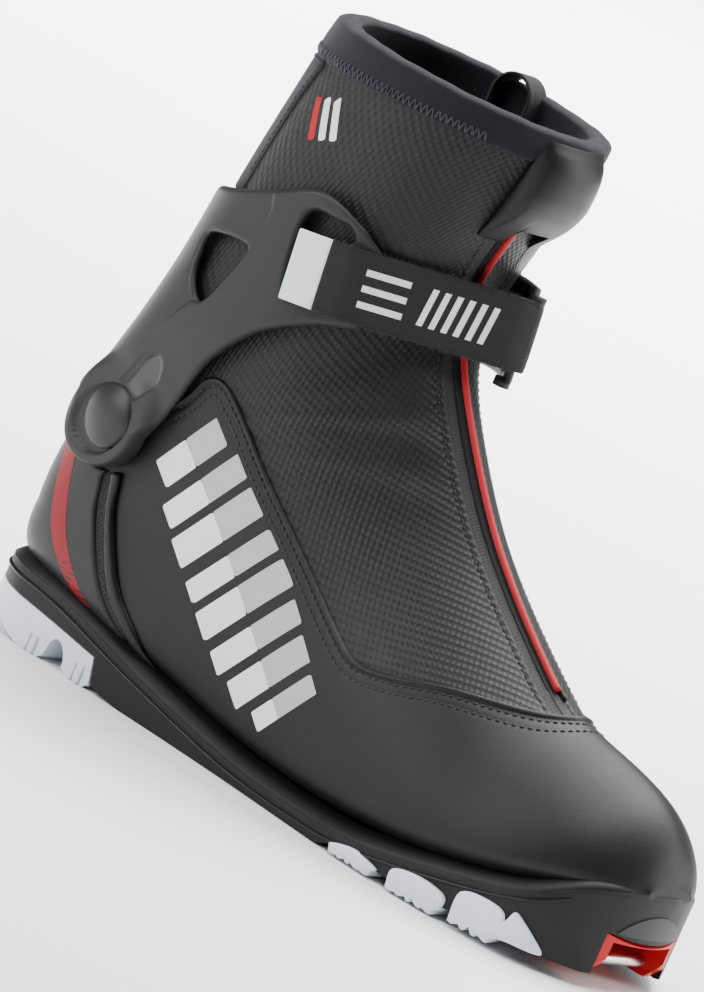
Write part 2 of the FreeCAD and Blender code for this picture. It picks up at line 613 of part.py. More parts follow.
cap_radius, cap_rise = dim("cap_radius"), dim("cap_rise")
cap_wall, dome_steps = 1.0, 6
dome = []
for i in range(dome_steps):
    angle = math.pi / 2 * i / dome_steps
    dome.append((cap_radius * math.cos(angle), cap_wall + (cap_rise - cap_wall) * math.sin(angle)))
for side_name, side in SIDES.items():
    cap = revolved_body("pivot_cap_" + side_name, [(0, 0.0), (cap_radius, 0.0)] + dome + [(0, cap_rise)])
    place = Placement(Vector(PIVOT[0], side * plate_outer, PIVOT[1]), Rotation(Vector(1, 0, 0), -90 * side))
    cap.Placement = MIDDLE.multiply(place)
    SUBPARTS.append(cap)

# ------------------------------------------------------------------ collar
rim = shell(0.9, -7.7, block(-60, 400, -90, 90, dim("binding_bottom_z"), 260))
rim_slot = inside(0.1).cut(inside(-7.1)).common(block(-60, 400, -90, 90, 200, dim("collar_seam_z") + 0.2))
keep("collar_binding", rim.cut(rim_slot))
rear_panel_front = [(57, 180), (63, 213), (66, 222), (70, 230.2)]
rear_panel = prism(outline(rear_panel_front, [(70, 230.2), (0, 230.2)], [(0, 230.2), (0, 176)],
                           [(0, 176), (57, 180)]))
keep("collar_rear_panel", shell(0.7, 0.05, rear_panel))

# The pull loop is a ribbon that stands on the inside of the rim.
LOOP_X, LOOP_Z, LOOP_Y, LOOP_FOOT_Z = 92.0, 240.0, (32.4, 42.4), 222.0
loop_radius, ribbon = 9.0, 1.2
loop = disc(loop_radius, LOOP_X, LOOP_Z, *LOOP_Y).cut(disc(loop_radius - ribbon, LOOP_X, LOOP_Z, *LOOP_Y))
loop = loop.cut(block(70, 120, 0, 80, 220, LOOP_Z))
for leg_x in (LOOP_X - loop_radius, LOOP_X + loop_radius - ribbon):
    loop = loop.fuse(block(leg_x, leg_x + ribbon, *LOOP_Y, LOOP_FOOT_Z, LOOP_Z))
loop_room = inside(-7.9).fuse(block(70, 120, 0, 80, 246, 260)).fuse(block(70, 120, 26, 38, 238, 260))
keep("pull_loop", loop.common(loop_room).cut(inside(0.9).cut(inside(-7.8))))

flap_face = outline([(139, 201), (146, 203), (155, 211), (159, 220), (160, 230), (157.5, 238), (151, 240.5)],
                    [(151, 240.5), (130, 240.5)], [(130, 240.5), (120, 201)], [(120, 201), (139, 201)])
flap = prism(flap_face, -16, 16).cut(inside(0.95))
# The pocket is open below, so the slider can run out of it.
pocket_face = outline([(149.5, 198), (152.8, 212.5), (156.4, 221), (157.4, 230), (156.4, 236.5)],
                      [(156.4, 236.5), (130, 236.5)], [(130, 236.5), (118, 198)], [(118, 198), (149.5, 198)])
keep("zip_garage", flap.cut(prism(pocket_face, -6.8, 9.8)))

# ------------------------------------------------------------------ zip slider and pull
SLIDE_TOP, SLIDE_LOW = Vector(149.9, 0, 228), Vector(141.5, 0, 201)
slide_direction = (SLIDE_LOW - SLIDE_TOP).normalize()
slide_angle = math.degrees(math.atan2(-slide_direction.x, -slide_direction.z))


def on_zip(shape, lift, along=0.0):
    """Place a shape built upright (z along the zip, x outward) on the upper zip."""
    normal = Vector(-slide_direction.z, 0, slide_direction.x)
    where = SLIDE_TOP + slide_direction * along + normal * lift
    moved = shape.copy()
    moved.Placement = Placement(where, Rotation(Vector(0, 1, 0), slide_angle))
    return moved


slider_length, slider_width = dim("slider_length"), dim("slider_width")
slider_thickness, slider_lift = dim("slider_thickness"), dim("slider_lift")
bridge_width, bridge_height = dim("bridge_width"), dim("bridge_height")
bridge_low, bridge_length = -8.2, 5.4
hinge_along = 4.6
hinge_lift = slider_thickness + bridge_height - dim("bridge_hole_radius") - 0.5
slider = Part.makeBox(slider_thickness, slider_width, slider_length,
                      Vector(0, zip_middle_y - slider_width / 2, -slider_length))
slider = slider.makeFillet(0.6, slider.Edges)
bridge = Part.makeBox(bridge_height + 0.1, bridge_width, bridge_length,
                      Vector(slider_thickness - 0.1, zip_middle_y - bridge_width / 2, bridge_low))
hinge_from = Vector(hinge_lift, zip_middle_y - 3, -hinge_along)
hinge_hole = Part.makeCylinder(dim("bridge_hole_radius"), 6, hinge_from, Vector(0, 1, 0))
keep("zip_slider", on_zip(slider.fuse(bridge).cut(hinge_hole), slider_lift))

# The pull hangs from a round bar through the bridge; its window clears the bridge.
pull_length, pull_width, pull_thickness = dim("pull_length"), dim("pull_width"), dim("pull_thickness")
window_width = bridge_width + 2 * dim("slot_clearance")
pull = Part.makeBox(pull_thickness, pull_width, pull_length,
                    Vector(-pull_thickness / 2, zip_middle_y - pull_width / 2, 0.5 - pull_length))
pull = pull.makeFillet(0.45, pull.Edges)
pull_window = Part.makeBox(4, window_width, 6.0, Vector(-2, zip_middle_y - window_width / 2, -5.0))
pull_bar_from = Vector(0, zip_middle_y - window_width / 2 - 0.5, 0)
pull_bar = Part.makeCylinder(dim("pull_bar_radius"), window_width + 1, pull_bar_from, Vector(0, 1, 0))
keep("zip_pull", on_zip(pull.cut(pull_window).fuse(pull_bar), slider_lift + hinge_lift, hinge_along))

# ------------------------------------------------------------------ outsole
HEEL_CENTRE, HEEL_REACH = 40.0, 31.0
TOE_START, TOE_REACH, TOE_POWER = 262.0, 42.5, 2.05


def plan_side(side, margin, z):
    """One edge of the sole in plan, from the back of the heel to the toe tip, without its two end points."""
    points = []
    heel_width = smooth(FOOT_X, FOOT_WIDTH[side], HEEL_CENTRE) + margin
    toe_width = smooth(FOOT_X, FOOT_WIDTH[side], TOE_START) + margin
    for degrees in (15, 30, 45, 60, 75):
        angle = math.radians(degrees)
        points.append((HEEL_CENTRE - (HEEL_REACH + margin) * math.cos(angle), heel_width * math.sin(angle)))
    for x in (45, 70, 100, 130, 160, 190, 215, 240, TOE_START):
        points.append((x, smooth(FOOT_X, FOOT_WIDTH[side], x) + margin))
    for degrees in (66, 50, 36, 22, 9):
        angle = math.radians(degrees)
        points.append((TOE_START + (TOE_REACH + margin / 2) * math.cos(angle) ** (2 / TOE_POWER),
                       toe_width * math.sin(angle) ** (2 / TOE_POWER)))
    return [Vector(x, side * y, z) for x, y in points]


def plan_face(margin, z=-2.0):
    """Plan outline of the sole, a margin outside the foot."""
    heel_tip = Vector(HEEL_CENTRE - HEEL_REACH - margin, 0, z)
    toe_tip = Vector(TOE_START + TOE_REACH + margin / 2, 0, z)
    ring_points = [heel_tip] + plan_side(-1, margin, z) + [toe_tip]
    ring_points += list(reversed(plan_side(1, margin, z)))
    curve = Part.BSplineCurve()
    curve.interpolate(Points=ring_points, PeriodicFlag=True)
    return Part.Face(Part.Wire([curve.toShape()]))


sole_plan = plan_face(dim("sole_margin")).extrude(Vector(0, 0, 60))
SOLE_BOTTOM = [(-6, 17.5), (28, 16.2), (55, 14), (70, 12.4)]
sole_side = prism(outline(FEATHER, [FEATHER[-1], (312, 12)], [(312, 12), (306, 6.5)],
                          [(306, 6.5), (299, 5.0)], [(299, 5.0), (282, 5.5)], [(282, 5.5), (268, 5.2)],
                          [(268, 5.2), (240, 3.6)], [(240, 3.6), (206, 3.2)], [(206, 3.2), (198, 0.0)],
                          [(198, 0.0), (96, 0.0)],
                          [(96, 0.0), (80.5, 2.0)], [(80.5, 2.0), (77.5, 11.6)], [(77.5, 11.6), (70, 12.4)],
                          list(reversed(SOLE_BOTTOM)), [SOLE_BOTTOM[0], FEATHER[0]]))
outsole = sole_plan.common(sole_side).cut(inside(dim("overlay_rise")))
groove_half, groove_depth = dim("guide_groove_half_width"), dim("guide_groove_depth")
groove_middle_y = 12
for side in SIDES.values():
    y_from, y_to = sorted([side * (groove_middle_y - groove_half), side * (groove_middle_y + groove_half)])
    outsole = outsole.cut(block(200, 276, y_from, y_to, -1, 3.2 + groove_depth))
    outsole = outsole.cut(block(92, 196, y_from, y_to, -1, groove_depth))

housing_half, housing_wall, roof = dim("housing_half_width"), dim("housing_wall"), dim("jaw_roof_z")
jaw_outline = polygon((276.5, 2), (278.5, 14), (284, roof + 2.4), (302, roof + 2.8), (312, 16), (312, 2))
outsole = outsole.cut(prism(jaw_outline, -housing_half, housing_half))
nose_low, nose_high, nose_half, nose_back = roof + 3.2, 29.0, 17.0, 300.5
nose_arch = Part.Arc(Vector(nose_back, -nose_half, nose_low), Vector(nose_back, 0, nose_high),
                     Vector(nose_back, nose_half, nose_low)).toShape()
nose_chord = Part.makeLine(Vector(nose_back, nose_half, nose_low), Vector(nose_back, -nose_half, nose_low))
nose = Part.Face(Part.Wire([nose_arch, nose_chord])).extrude(Vector(20, 0, 0))
nose_plan = plan_face(dim("sole_margin") + 0.9).extrude(Vector(0, 0, 60))
nose = nose.common(nose_plan).cut(inside(dim("overlay_rise")))
outsole = outsole.cut(nose)
keep("outsole", outsole)
keep("nose_insert", nose)

# ------------------------------------------------------------------ toe bar, housing and the nose insert
front_trim = polygon((277.2, 4.2), (279, 13.6), (284.4, roof + 2.2), (301, roof + 2.6), (305.6, 17.5),
                     (301, 9), (297, 4.4))
cavity = polygon((281.2, 0), (282.6, 12.8), (286.6, roof), (312, roof), (312, 0))
housing = prism(front_trim, -housing_half + 0.1, housing_half - 0.1).cut(
    prism(cavity, -housing_half + housing_wall, housing_half - housing_wall))
housing = housing.common(plan_face(dim("sole_margin") - 0.1).extrude(Vector(0, 0, 60)))
toe_bar_x, toe_bar_z = dim("toe_bar_x"), dim("toe_bar_z")
housing = housing.cut(disc(dim("toe_bar_radius"), toe_bar_x, toe_bar_z, -40, 40))
keep("toe_bar_housing", housing)

toe_bar = doc.addObject("Part::Cylinder", "toe_bar")
toe_bar.Label = "toe_bar"
toe_bar.setExpression("Radius", "Dimensions.toe_bar_radius")
toe_bar.setExpression("Height", "Dimensions.toe_bar_width")
toe_bar_from = Vector(toe_bar_x, -dim("toe_bar_width") / 2, toe_bar_z)
toe_bar.Placement = MIDDLE.multiply(Placement(toe_bar_from, Rotation(Vector(1, 0, 0), -90)))
SUBPARTS.append(toe_bar)

# ------------------------------------------------------------------ treads
wall_plan = plan_face(dim("sole_margin") + 0.7).extrude(Vector(0, 0, 60))


def lug_pair(face, inner_y):
    """A wedge at each edge of the sole, cut to the plan outline."""
    whole = prism(face).common(wall_plan)
    return [whole.common(block(0, 320, -80, -inner_y, -5, 60)).cut(outsole),
            whole.common(block(0, 320, inner_y, 80, -5, 60)).cut(outsole)]


LUGS = [
    ([(204, 4.6), (214, 5.8), (222, 5.0), (228, 4.0)], [(228, 1.6), (212, 0.6)]),
    ([(231, 8.0), (241, 10.0), (250, 9.8), (256, 8.0)], [(256, 1.0), (233, 0.6)]),
    ([(257, 13.2), (265, 14.8), (273, 14.8), (278, 12)], [(278, 2.4), (258, 1.4)]),
]
tread_lugs = []
for top_run, bottom_run in LUGS:
    face = outline(top_run, [top_run[-1], bottom_run[0]], bottom_run, [bottom_run[1], top_run[0]])
    tread_lugs += lug_pair(face, 24)
keep("forefoot_tread", Part.makeCompound(tread_lugs))

heel_face = outline([(-3, 16.9), (28, 15.8), (55, 13.6), (69.8, 12.0)], [(69.8, 12.0), (77.1, 11.2)],
                    [(77.1, 11.2), (79.5, 2.0)], [(79.5, 2.0), (77, 0)], [(77, 0), (67.5, 0)],
                    [(67.5, 0), (65, 2)], [(65, 2), (62.5, 8), (59.5, 9.6), (56.5, 8)], [(56.5, 8), (55, 2)],
                    [(55, 2), (52.5, 0)], [(52.5, 0), (43, 0)], [(43, 0), (36, 1.6)],
                    [(36, 1.6), (24, 6.6), (11, 12), (-3, 16.9)])
heel_whole = prism(heel_face).common(plan_face(dim("sole_margin") + 0.2).extrude(Vector(0, 0, 60)))
heel_hollow = block(34, 90, -15, 15, -5, 9)
keep("heel_tread", heel_whole.cut(heel_hollow).cut(outsole))

# ------------------------------------------------------------------ recompute, check and write
doc.recompute()
for feature in doc.Objects:
    for state in ("Invalid", "Error"):
        if state in feature.State:
            raise RuntimeError("%s is %s" % (feature.Label, state))
for part in SUBPARTS:
    if part.Shape.isNull() or not part.Shape.isValid():
        raise RuntimeError("%s has no valid shape" % part.Label)
    if not part.Shape.Solids:
        raise RuntimeError("%s has no solid" % part.Label)
for part in SUBPARTS:
    part.Shape.exportStep("parts/%s.step" % part.Label)
box = FreeCAD.BoundBox()
for part in SUBPARTS:
    box.add(part.Shape.BoundBox)
print("sub-parts", len(SUBPARTS))
for part in SUBPARTS:
    bounds = part.Shape.BoundBox
    print("%-22s solids %2d  volume %9.1f  x %6.1f %6.1f  y %6.1f %6.1f  z %6.1f %6.1f" % (
        part.Label, len(part.Shape.Solids), part.Shape.Volume, bounds.XMin, bounds.XMax, bounds.YMin,
        bounds.YMax, bounds.ZMin, bounds.ZMax))
print("box x %.2f %.2f  y %.2f %.2f  z %.2f %.2f" % (
    box.XMin, box.XMax, box.YMin, box.YMax, box.ZMin, box.ZMax))
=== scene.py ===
import math

import bpy
import numpy as np
from mathutils import Matrix, Vector


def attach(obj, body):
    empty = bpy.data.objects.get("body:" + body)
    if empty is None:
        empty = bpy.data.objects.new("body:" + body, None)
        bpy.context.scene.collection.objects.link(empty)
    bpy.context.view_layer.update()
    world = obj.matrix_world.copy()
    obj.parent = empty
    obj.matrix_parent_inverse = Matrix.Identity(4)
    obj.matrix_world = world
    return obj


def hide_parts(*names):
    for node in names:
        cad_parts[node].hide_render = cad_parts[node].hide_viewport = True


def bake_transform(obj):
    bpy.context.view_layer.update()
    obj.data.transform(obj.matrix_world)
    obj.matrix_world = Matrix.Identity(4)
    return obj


# Looks of the cross country boot. Shapes are worked out in the boot's heel frame in millimetres (x from the
# back of the heel to the toe, -y the outer side, z up from the ground) and moved to the row frame in metres.
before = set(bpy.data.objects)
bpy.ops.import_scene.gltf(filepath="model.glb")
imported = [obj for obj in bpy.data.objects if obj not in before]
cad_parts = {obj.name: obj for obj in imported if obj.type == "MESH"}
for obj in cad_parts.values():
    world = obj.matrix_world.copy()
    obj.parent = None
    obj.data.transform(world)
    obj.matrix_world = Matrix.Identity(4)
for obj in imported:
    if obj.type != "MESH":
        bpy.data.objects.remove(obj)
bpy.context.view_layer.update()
HEEL_FRAME = np.array([156.48, -0.63, 0.0])
PIVOT = (47.0, 88.5)
PLATE_LEAN = math.radians(9.0)
RNG = np.random.default_rng(7)


def row(points):
    """Heel frame millimetres to row frame metres."""
    return (np.asarray(points, float).reshape(-1, 3) - HEEL_FRAME) / 1000


def ease(number):
    number = np.clip(number, 0.0, 1.0)
    return number * number * (3 - 2 * number)


# ---------------------------------------- the last: the surface that all layers follow
# Crest x, z, back x, z, rounding at the crest and at the back, as in the CAD.
STATIONS = np.array([
    (303.8, 39, 303.8, 34, 3, 3), (302.3, 47, 302.5, 30, 12, 6), (297.0, 55, 297.5, 28, 22, 8),
    (284.5, 63, 285.0, 24, 32, 10), (265.0, 68, 265.0, 18, 42, 10), (243.0, 72, 240.0, 12, 48, 10),
    (221.0, 85, 211.0, 8.5, 56, 10), (201.0, 99, 177.0, 6.5, 62, 10), (184.0, 113, 140.0, 8, 66, 10),
    (169.0, 128.5, 98.0, 14, 68, 10), (155.5, 144, 50.0, 20, 68, 12), (145.0, 158, 14.5, 25, 64, 20),
    (139.0, 172, 9.0, 50, 58, 34), (138.0, 186, 13.0, 80, 54, 42), (141.5, 201, 23.0, 110, 52, 46),
    (145.6, 214, 31.0, 145, 52, 48), (149.6, 227, 36.0, 183, 52, 48), (153.0, 240, 48.0, 244.5, 52, 50)])
TAIL_PATH = [(97, -51.1), (106, -50.8), (114, -49.4), (122, -45.2), (132.4, -30.1), (145.4, -11.9),
             (158.4, 6.3)]
BASE_PATH = [(115.5, -41.0), (121, -37.5), (127, -31.8), (134.2, -23.0), (145.2, -7.6), (156.3, 7.85)]
STEPS = np.arange(len(STATIONS)) / (len(STATIONS) - 1)
FOOT_X = [0, 9, 20, 45, 80, 120, 160, 195, 222, 248, 270, 286, 295, 301, 305]
FOOT_WIDTH = {-1: [19, 25, 30.5, 34.5, 36.5, 38, 41, 45, 47, 45.5, 41.5, 34.5, 26.5, 18, 9],
              1: [19, 25, 30.5, 34, 34.5, 35, 38, 43.5, 46.5, 45.5, 42, 35.5, 28, 19.5, 10]}
SHAFT_Z = [60, 90, 120, 150, 180, 210, 240]
SHAFT_WIDTH = [37, 40, 42, 43, 43, 45, 47]
RINGS, SIDE_POINTS = 36, 14
AROUND = 2 * SIDE_POINTS
SPANS = RINGS - 3


def smooth(stops, values, at):
    """Cubic through the stops with slopes from their neighbours, for one number or an array."""
    stops, values = np.asarray(stops, float), np.asarray(values, float)
    at = np.clip(np.asarray(at, float), stops[0], stops[-1])
    slopes = np.diff(values) / np.diff(stops)
    before, after = np.diff(stops)[:-1], np.diff(stops)[1:]
    inner = (slopes[:-1] * after + slopes[1:] * before) / (before + after)
    tangents = np.concatenate([[slopes[0]], inner, [slopes[-1]]])
    i = np.clip(np.searchsorted(stops, at, side="right") - 1, 0, len(stops) - 2)
    span = stops[i + 1] - stops[i]
    u = (at - stops[i]) / span
    return ((2 * u**3 - 3 * u**2 + 1) * values[i] + (u**3 - 2 * u**2 + u) * span * tangents[i]
            + (3 * u**2 - 2 * u**3) * values[i + 1] + (u**3 - u**2) * span * tangents[i + 1])


def half_width(x, z, side):
    share = ease((z - 50) / 65) * ease((200 - x) / 60)
    return smooth(FOOT_X, FOOT_WIDTH[side], x) * (1 - share) + smooth(SHAFT_Z, SHAFT_WIDTH, z) * share


def rounding(distance, radius, power):
    part = np.clip(1 - distance / radius, 0.0, 1.0)
    return (1 - part**power) ** (1 / power)


def distances(points):
    """Distance from the first point to each, along the line through them."""
    return np.concatenate([[0], np.cumsum(np.linalg.norm(np.diff(points, axis=0), axis=1))])


def control_net(offset):
    """Control points of the layer that lies offset outside the last."""
    net = np.zeros((RINGS, AROUND, 3))
    for i in range(RINGS):
        step = i / (RINGS - 1)
        crest_x, crest_z, back_x, back_z, crest_round, back_round = [
            smooth(STEPS, STATIONS[:, column], step) for column in range(6)]
        length = math.hypot(back_x - crest_x, back_z - crest_z)
        along_x, along_z = (back_x - crest_x) / length, (back_z - crest_z) / length
        crest_power = 1.6 + 0.4 * ease((step * 17 - 10) / 3)
        for k in range(AROUND):
            side = -1 if k <= SIDE_POINTS else 1
            turn = k / SIDE_POINTS if k <= SIDE_POINTS else (AROUND - k) / SIDE_POINTS
            share = (1 - math.cos(math.pi * turn)) / 2
            x, z = crest_x + along_x * length * share, crest_z + along_z * length * share
            width = (half_width(x, z, side) * rounding(length * share, crest_round, crest_power)
                     * rounding(length * (1 - share), back_round, 2.0))
            outward = 1 - 2 * share
            width += offset * math.sqrt(max(0.0, 1 - outward**2))
            forward = offset if i == 0 else 0.0
            net[i, k] = (x - along_x * offset * outward + forward, side * width,
                         z - along_z * offset * outward)
    return net


def clamped_basis(at):
    """Weights of the rings for each position along the boot."""
    knots = np.concatenate([[0] * 3, np.arange(SPANS + 1), [SPANS] * 3]).astype(float)
    at = np.clip(at, 0, SPANS - 1e-9)
    weights = ((knots[None, :-1] <= at[:, None]) & (at[:, None] < knots[None, 1:])).astype(float)
    for degree in (1, 2, 3):
        low, high = knots[:-degree - 1], knots[degree:-1]
        left = np.where(high > low, (at[:, None] - low) / np.where(high > low, high - low, 1), 0)
        low, high = knots[1:-degree], knots[degree + 1:]
        right = np.where(high > low, (high - at[:, None]) / np.where(high > low, high - low, 1), 0)
        weights = left * weights[:, :-1] + right * weights[:, 1:]
    return weights


def periodic_basis(at):
    """Weights of the points once round the boot."""
    weights = np.zeros((len(at), AROUND))
    base = np.floor(at).astype(int)
    t = at - base
    parts = [(1 - t)**3 / 6, (3 * t**3 - 6 * t**2 + 4) / 6, (-3 * t**3 + 3 * t**2 + 3 * t + 1) / 6, t**3 / 6]
    for shift, part in zip((-1, 0, 1, 2), parts):
        weights[np.arange(len(at)), (base + shift) % AROUND] += part
    return weights


def grid_faces(rings, around, closed=False, wrapped=True):
    """Quads between neighbouring rings of points. If closed, the last ring joins the first. If
    wrapped, each ring's last point joins its first."""
    last = around if wrapped else around - 1
    return [[i * around + k, i * around + (k + 1) % around,
             (i + 1) % rings * around + (k + 1) % around, (i + 1) % rings * around + k]
            for i in range(rings if closed else rings - 1) for k in range(last)]


def turned_over(faces):
    """The same quads seen from the other side, each from its same first point."""
    return [[face[0]] + face[:0:-1] for face in faces]


ALONG, ROUND = SPANS * 14 + 1, AROUND * 18
U_AT = np.linspace(0, SPANS, ALONG)
V_AT = np.arange(ROUND) * AROUND / ROUND
NET = control_net(0.0)
NET_STEP = control_net(1.0) - NET
U_BASIS, V_BASIS = clamped_basis(U_AT), periodic_basis(V_AT)
LAST = np.einsum("ur,vc,rcd->uvd", U_BASIS, V_BASIS, NET)
OUT = np.einsum("ur,vc,rcd->uvd", U_BASIS, V_BASIS, NET_STEP)
X, Y, Z = LAST[..., 0], LAST[..., 1], LAST[..., 2]
OUTER_SIDE = np.broadcast_to(V_AT[None, :] < SIDE_POINTS, X.shape)
round_steps = np.linalg.norm(np.roll(LAST, -1, 1) - LAST, axis=2)
HALF = ROUND // 2
ROUND_MM = np.zeros_like(X)
ROUND_MM[:, 1:HALF + 1] = np.cumsum(round_steps[:, :HALF], 1)
ROUND_MM[:, HALF + 1:] = np.cumsum(round_steps[:, ::-1], 1)[:, :HALF - 1][:, ::-1]
side_line = LAST[:, ROUND // 8]
ALONG_MM = np.broadcast_to(distances(side_line)[:, None], X.shape)
GRID_QUADS = np.array(grid_faces(ALONG, ROUND))
LAST_FLAT, OUT_FLAT = LAST.reshape(-1, 3), OUT.reshape(-1, 3)


# ---------------------------------------- fields: signed millimetres, positive inside
def curve(points, per=8, closed=False):
    """Rounded line through the points."""
    points = np.asarray(points, float)
    if closed:
        padded = np.vstack([points[-1], points, points[:2]])
    else:
        padded = np.vstack([2 * points[0] - points[1], points, 2 * points[-1] - points[-2]])
    result = []
    for i in range(1, len(padded) - 2):
        a, b, c, d = padded[i - 1:i + 3]
        t = np.linspace(0, 1, per, endpoint=False)[:, None]
        result.append(0.5 * (2 * b + (c - a) * t + (2 * a - 5 * b + 4 * c - d) * t**2
                             + (3 * b - a - 3 * c + d) * t**3))
    if not closed:
        result.append(padded[-2][None])
    return np.vstack(result)


def within(outline, px=X, pz=Z):
    """Signed distance to a closed side view outline."""
    outline = np.asarray(outline, float)
    nearest = np.full(px.shape, 1e9)
    inside = np.zeros(px.shape, bool)
    for a, b in zip(outline, np.roll(outline, -1, 0)):
        edge = b - a
        length = edge @ edge
        if length < 1e-12:
            continue
        t = np.clip(((px - a[0]) * edge[0] + (pz - a[1]) * edge[1]) / length, 0, 1)
        nearest = np.minimum(nearest, (px - a[0] - t * edge[0])**2 + (pz - a[1] - t * edge[1])**2)
        if a[1] != b[1]:
            crosses = (a[1] > pz) != (b[1] > pz)
            inside ^= crosses & (px < a[0] + (pz - a[1]) * edge[0] / edge[1])
    return np.where(inside, 1, -1) * np.sqrt(nearest)


def line_distance(points, px=X, pz=Z):
    """Distance to an open side view line, and the share of the way along it."""
    points = np.asarray(points, float)
    nearest, share = np.full(px.shape, 1e9), np.zeros(px.shape)
    for i, (a, b) in enumerate(zip(points[:-1], points[1:])):
        edge = b - a
        t = np.clip(((px - a[0]) * edge[0] + (pz - a[1]) * edge[1]) / (edge @ edge), 0, 1)
        away = np.hypot(px - a[0] - t * edge[0], pz - a[1] - t * edge[1])
        closer = away < nearest
        nearest = np.where(closer, away, nearest)
        share = np.where(closer, (i + t) / (len(points) - 1), share)
    return nearest, share


def rounded(away, radius):
    """Rise from 0 at an edge to 1 at a distance of radius from it, along a quarter circle."""
    return np.sqrt(np.clip(1 - np.clip(1 - away / radius, 0, 1)**2, 0, 1))


def rim_height(inside, base, rise, radius):
    """Height of a layer whose edge is rounded down to its base."""
    return base + rise * rounded(inside, radius)


# ---------------------------------------- patches of the last, cut along fields
class Patch:
    """Part of the grid where a field is positive, with clean edges where it is zero."""

    def __init__(self, field, levels=(0.0,), extra=()):
        names = ["field"] + [name for name, _ in extra]
        columns = [LAST_FLAT, OUT_FLAT, ALONG_MM.reshape(-1, 1), ROUND_MM.reshape(-1, 1),
                   field.reshape(-1, 1)]
        columns += [np.asarray(values, float).reshape(-1, 1) for _, values in extra]
        data = np.hstack(columns)
        self.at = {name: 8 + i for i, name in enumerate(names)}
        quads = GRID_QUADS[(data[GRID_QUADS, 8] > levels[0]).any(1)]
        odd, rows = [], []
        count = len(data)
        for number, level in enumerate(levels):
            values = data[:, 8]
            low, high = values[quads].min(1), values[quads].max(1)
            cut = (low < level) & (high > level)
            odd += quads[cut].tolist()
            quads = quads[~cut & (low >= level)] if number == 0 else quads[~cut]
            pieces, made = [], {}
            for polygon in odd:
                marks = [self.value(data, rows, count, k) - level for k in polygon]
                if min(marks) >= 0:
                    pieces.append(polygon)
                    continue
                if max(marks) <= 0:
                    if number:
                        pieces.append(polygon)
                    continue
                above, below = [], []
                for k, (a, mark) in enumerate(zip(polygon, marks)):
                    b, next_mark = polygon[(k + 1) % len(polygon)], marks[(k + 1) % len(polygon)]
                    if mark >= 0:
                        above.append(a)
                    if mark <= 0:
                        below.append(a)
                    if mark * next_mark < 0:
                        key = (min(a, b), max(a, b))
                        if key not in made:
                            first, second = (self.line(data, rows, count, key[0]),
                                             self.line(data, rows, count, key[1]))
                            t = (level - first[8]) / (second[8] - first[8])
                            new = first + t * (second - first)
                            new[8] = level
                            rows.append(new)
                            made[key] = count + len(rows) - 1
                        above.append(made[key])
                        below.append(made[key])
                if len(above) > 2:
                    pieces.append(above)
                if number and len(below) > 2:
                    pieces.append(below)
            odd = pieces
        data = np.vstack([data] + rows) if rows else data
        faces = quads.tolist() + odd
        used = np.unique(np.concatenate([quads.ravel(), np.array([k for f in odd for k in f], int)]))
        renumber = np.full(len(data), -1)
        renumber[used] = np.arange(len(used))
        self.faces = [[int(renumber[k]) for k in face] for face in faces]
        self.data = data[used]
        self.edge_level = levels[0]

    @staticmethod
    def value(data, rows, count, k):
        return data[k, 8] if k < count else rows[k - count][8]

    @staticmethod
    def line(data, rows, count, k):
        return data[k] if k < count else rows[k - count]

    def column(self, name):
        return self.data[:, self.at[name]]

    def points(self, height):
        return self.data[:, :3] + np.asarray(height).reshape(-1, 1) * self.data[:, 3:6]

    @property
    def uv(self):
        return self.data[:, 6:8]


def make_mesh(name, points, faces, materials, uv=None, slots=None):
    """Mesh object in the row frame from heel frame points."""
    data = bpy.data.meshes.new(name)
    data.from_pydata(row(points).tolist(), [], faces if isinstance(faces, list) else faces.tolist())
    for material in materials:
        data.materials.append(material)
    if slots is not None:
        data.polygons.foreach_set("material_index", np.asarray(slots, np.int32))
    data.polygons.foreach_set("use_smooth", np.ones(len(data.polygons), bool))
    if uv is not None:
        index = np.zeros(len(data.loops), np.int32)
        data.loops.foreach_get("vertex_index", index)
        data.uv_layers.new(name="UVMap").data.foreach_set("uv", np.asarray(uv, float)[index].ravel())
    data.update()
    made = bpy.data.objects.new(name, data)
    bpy.context.scene.collection.objects.link(made)
    return made


def skin(name, field, height, materials, levels=(0.0,), extra=(), slots=None):
    """Open layer on the last. height is a number or a function of the patch."""
    patch = Patch(field, levels, extra)
    lift = height(patch) if callable(height) else np.full(len(patch.data), float(height))
    chosen = slots(patch) if slots else None
    return make_mesh(name, patch.points(lift), patch.faces, materials, patch.uv, chosen)


def shell(name, field, outer, inner, materials, levels=(0.0,), extra=(), slots=None):
    """Closed layer between two heights that meet at its edge."""
    patch = Patch(field, levels, extra)
    top, bottom = outer(patch), inner(patch)
    edge = np.isclose(patch.column("field"), patch.edge_level)
    count = len(patch.data)
    under = np.where(edge, np.arange(count), count + np.cumsum(~edge) - 1)
    points = np.vstack([patch.points(top), patch.points(bottom)[~edge]])
    uv = np.vstack([patch.uv, patch.uv[~edge]])
    faces = patch.faces + [[int(under[k]) for k in reversed(face)] for face in patch.faces]
    chosen = None
    if slots:
        first = slots(patch)
        chosen = list(first) + [0] * len(patch.faces)
    return make_mesh(name, points, faces, materials, uv, chosen)


def face_values(patch, name):
    values = patch.column(name)
    return np.array([values[face].mean() for face in patch.faces])


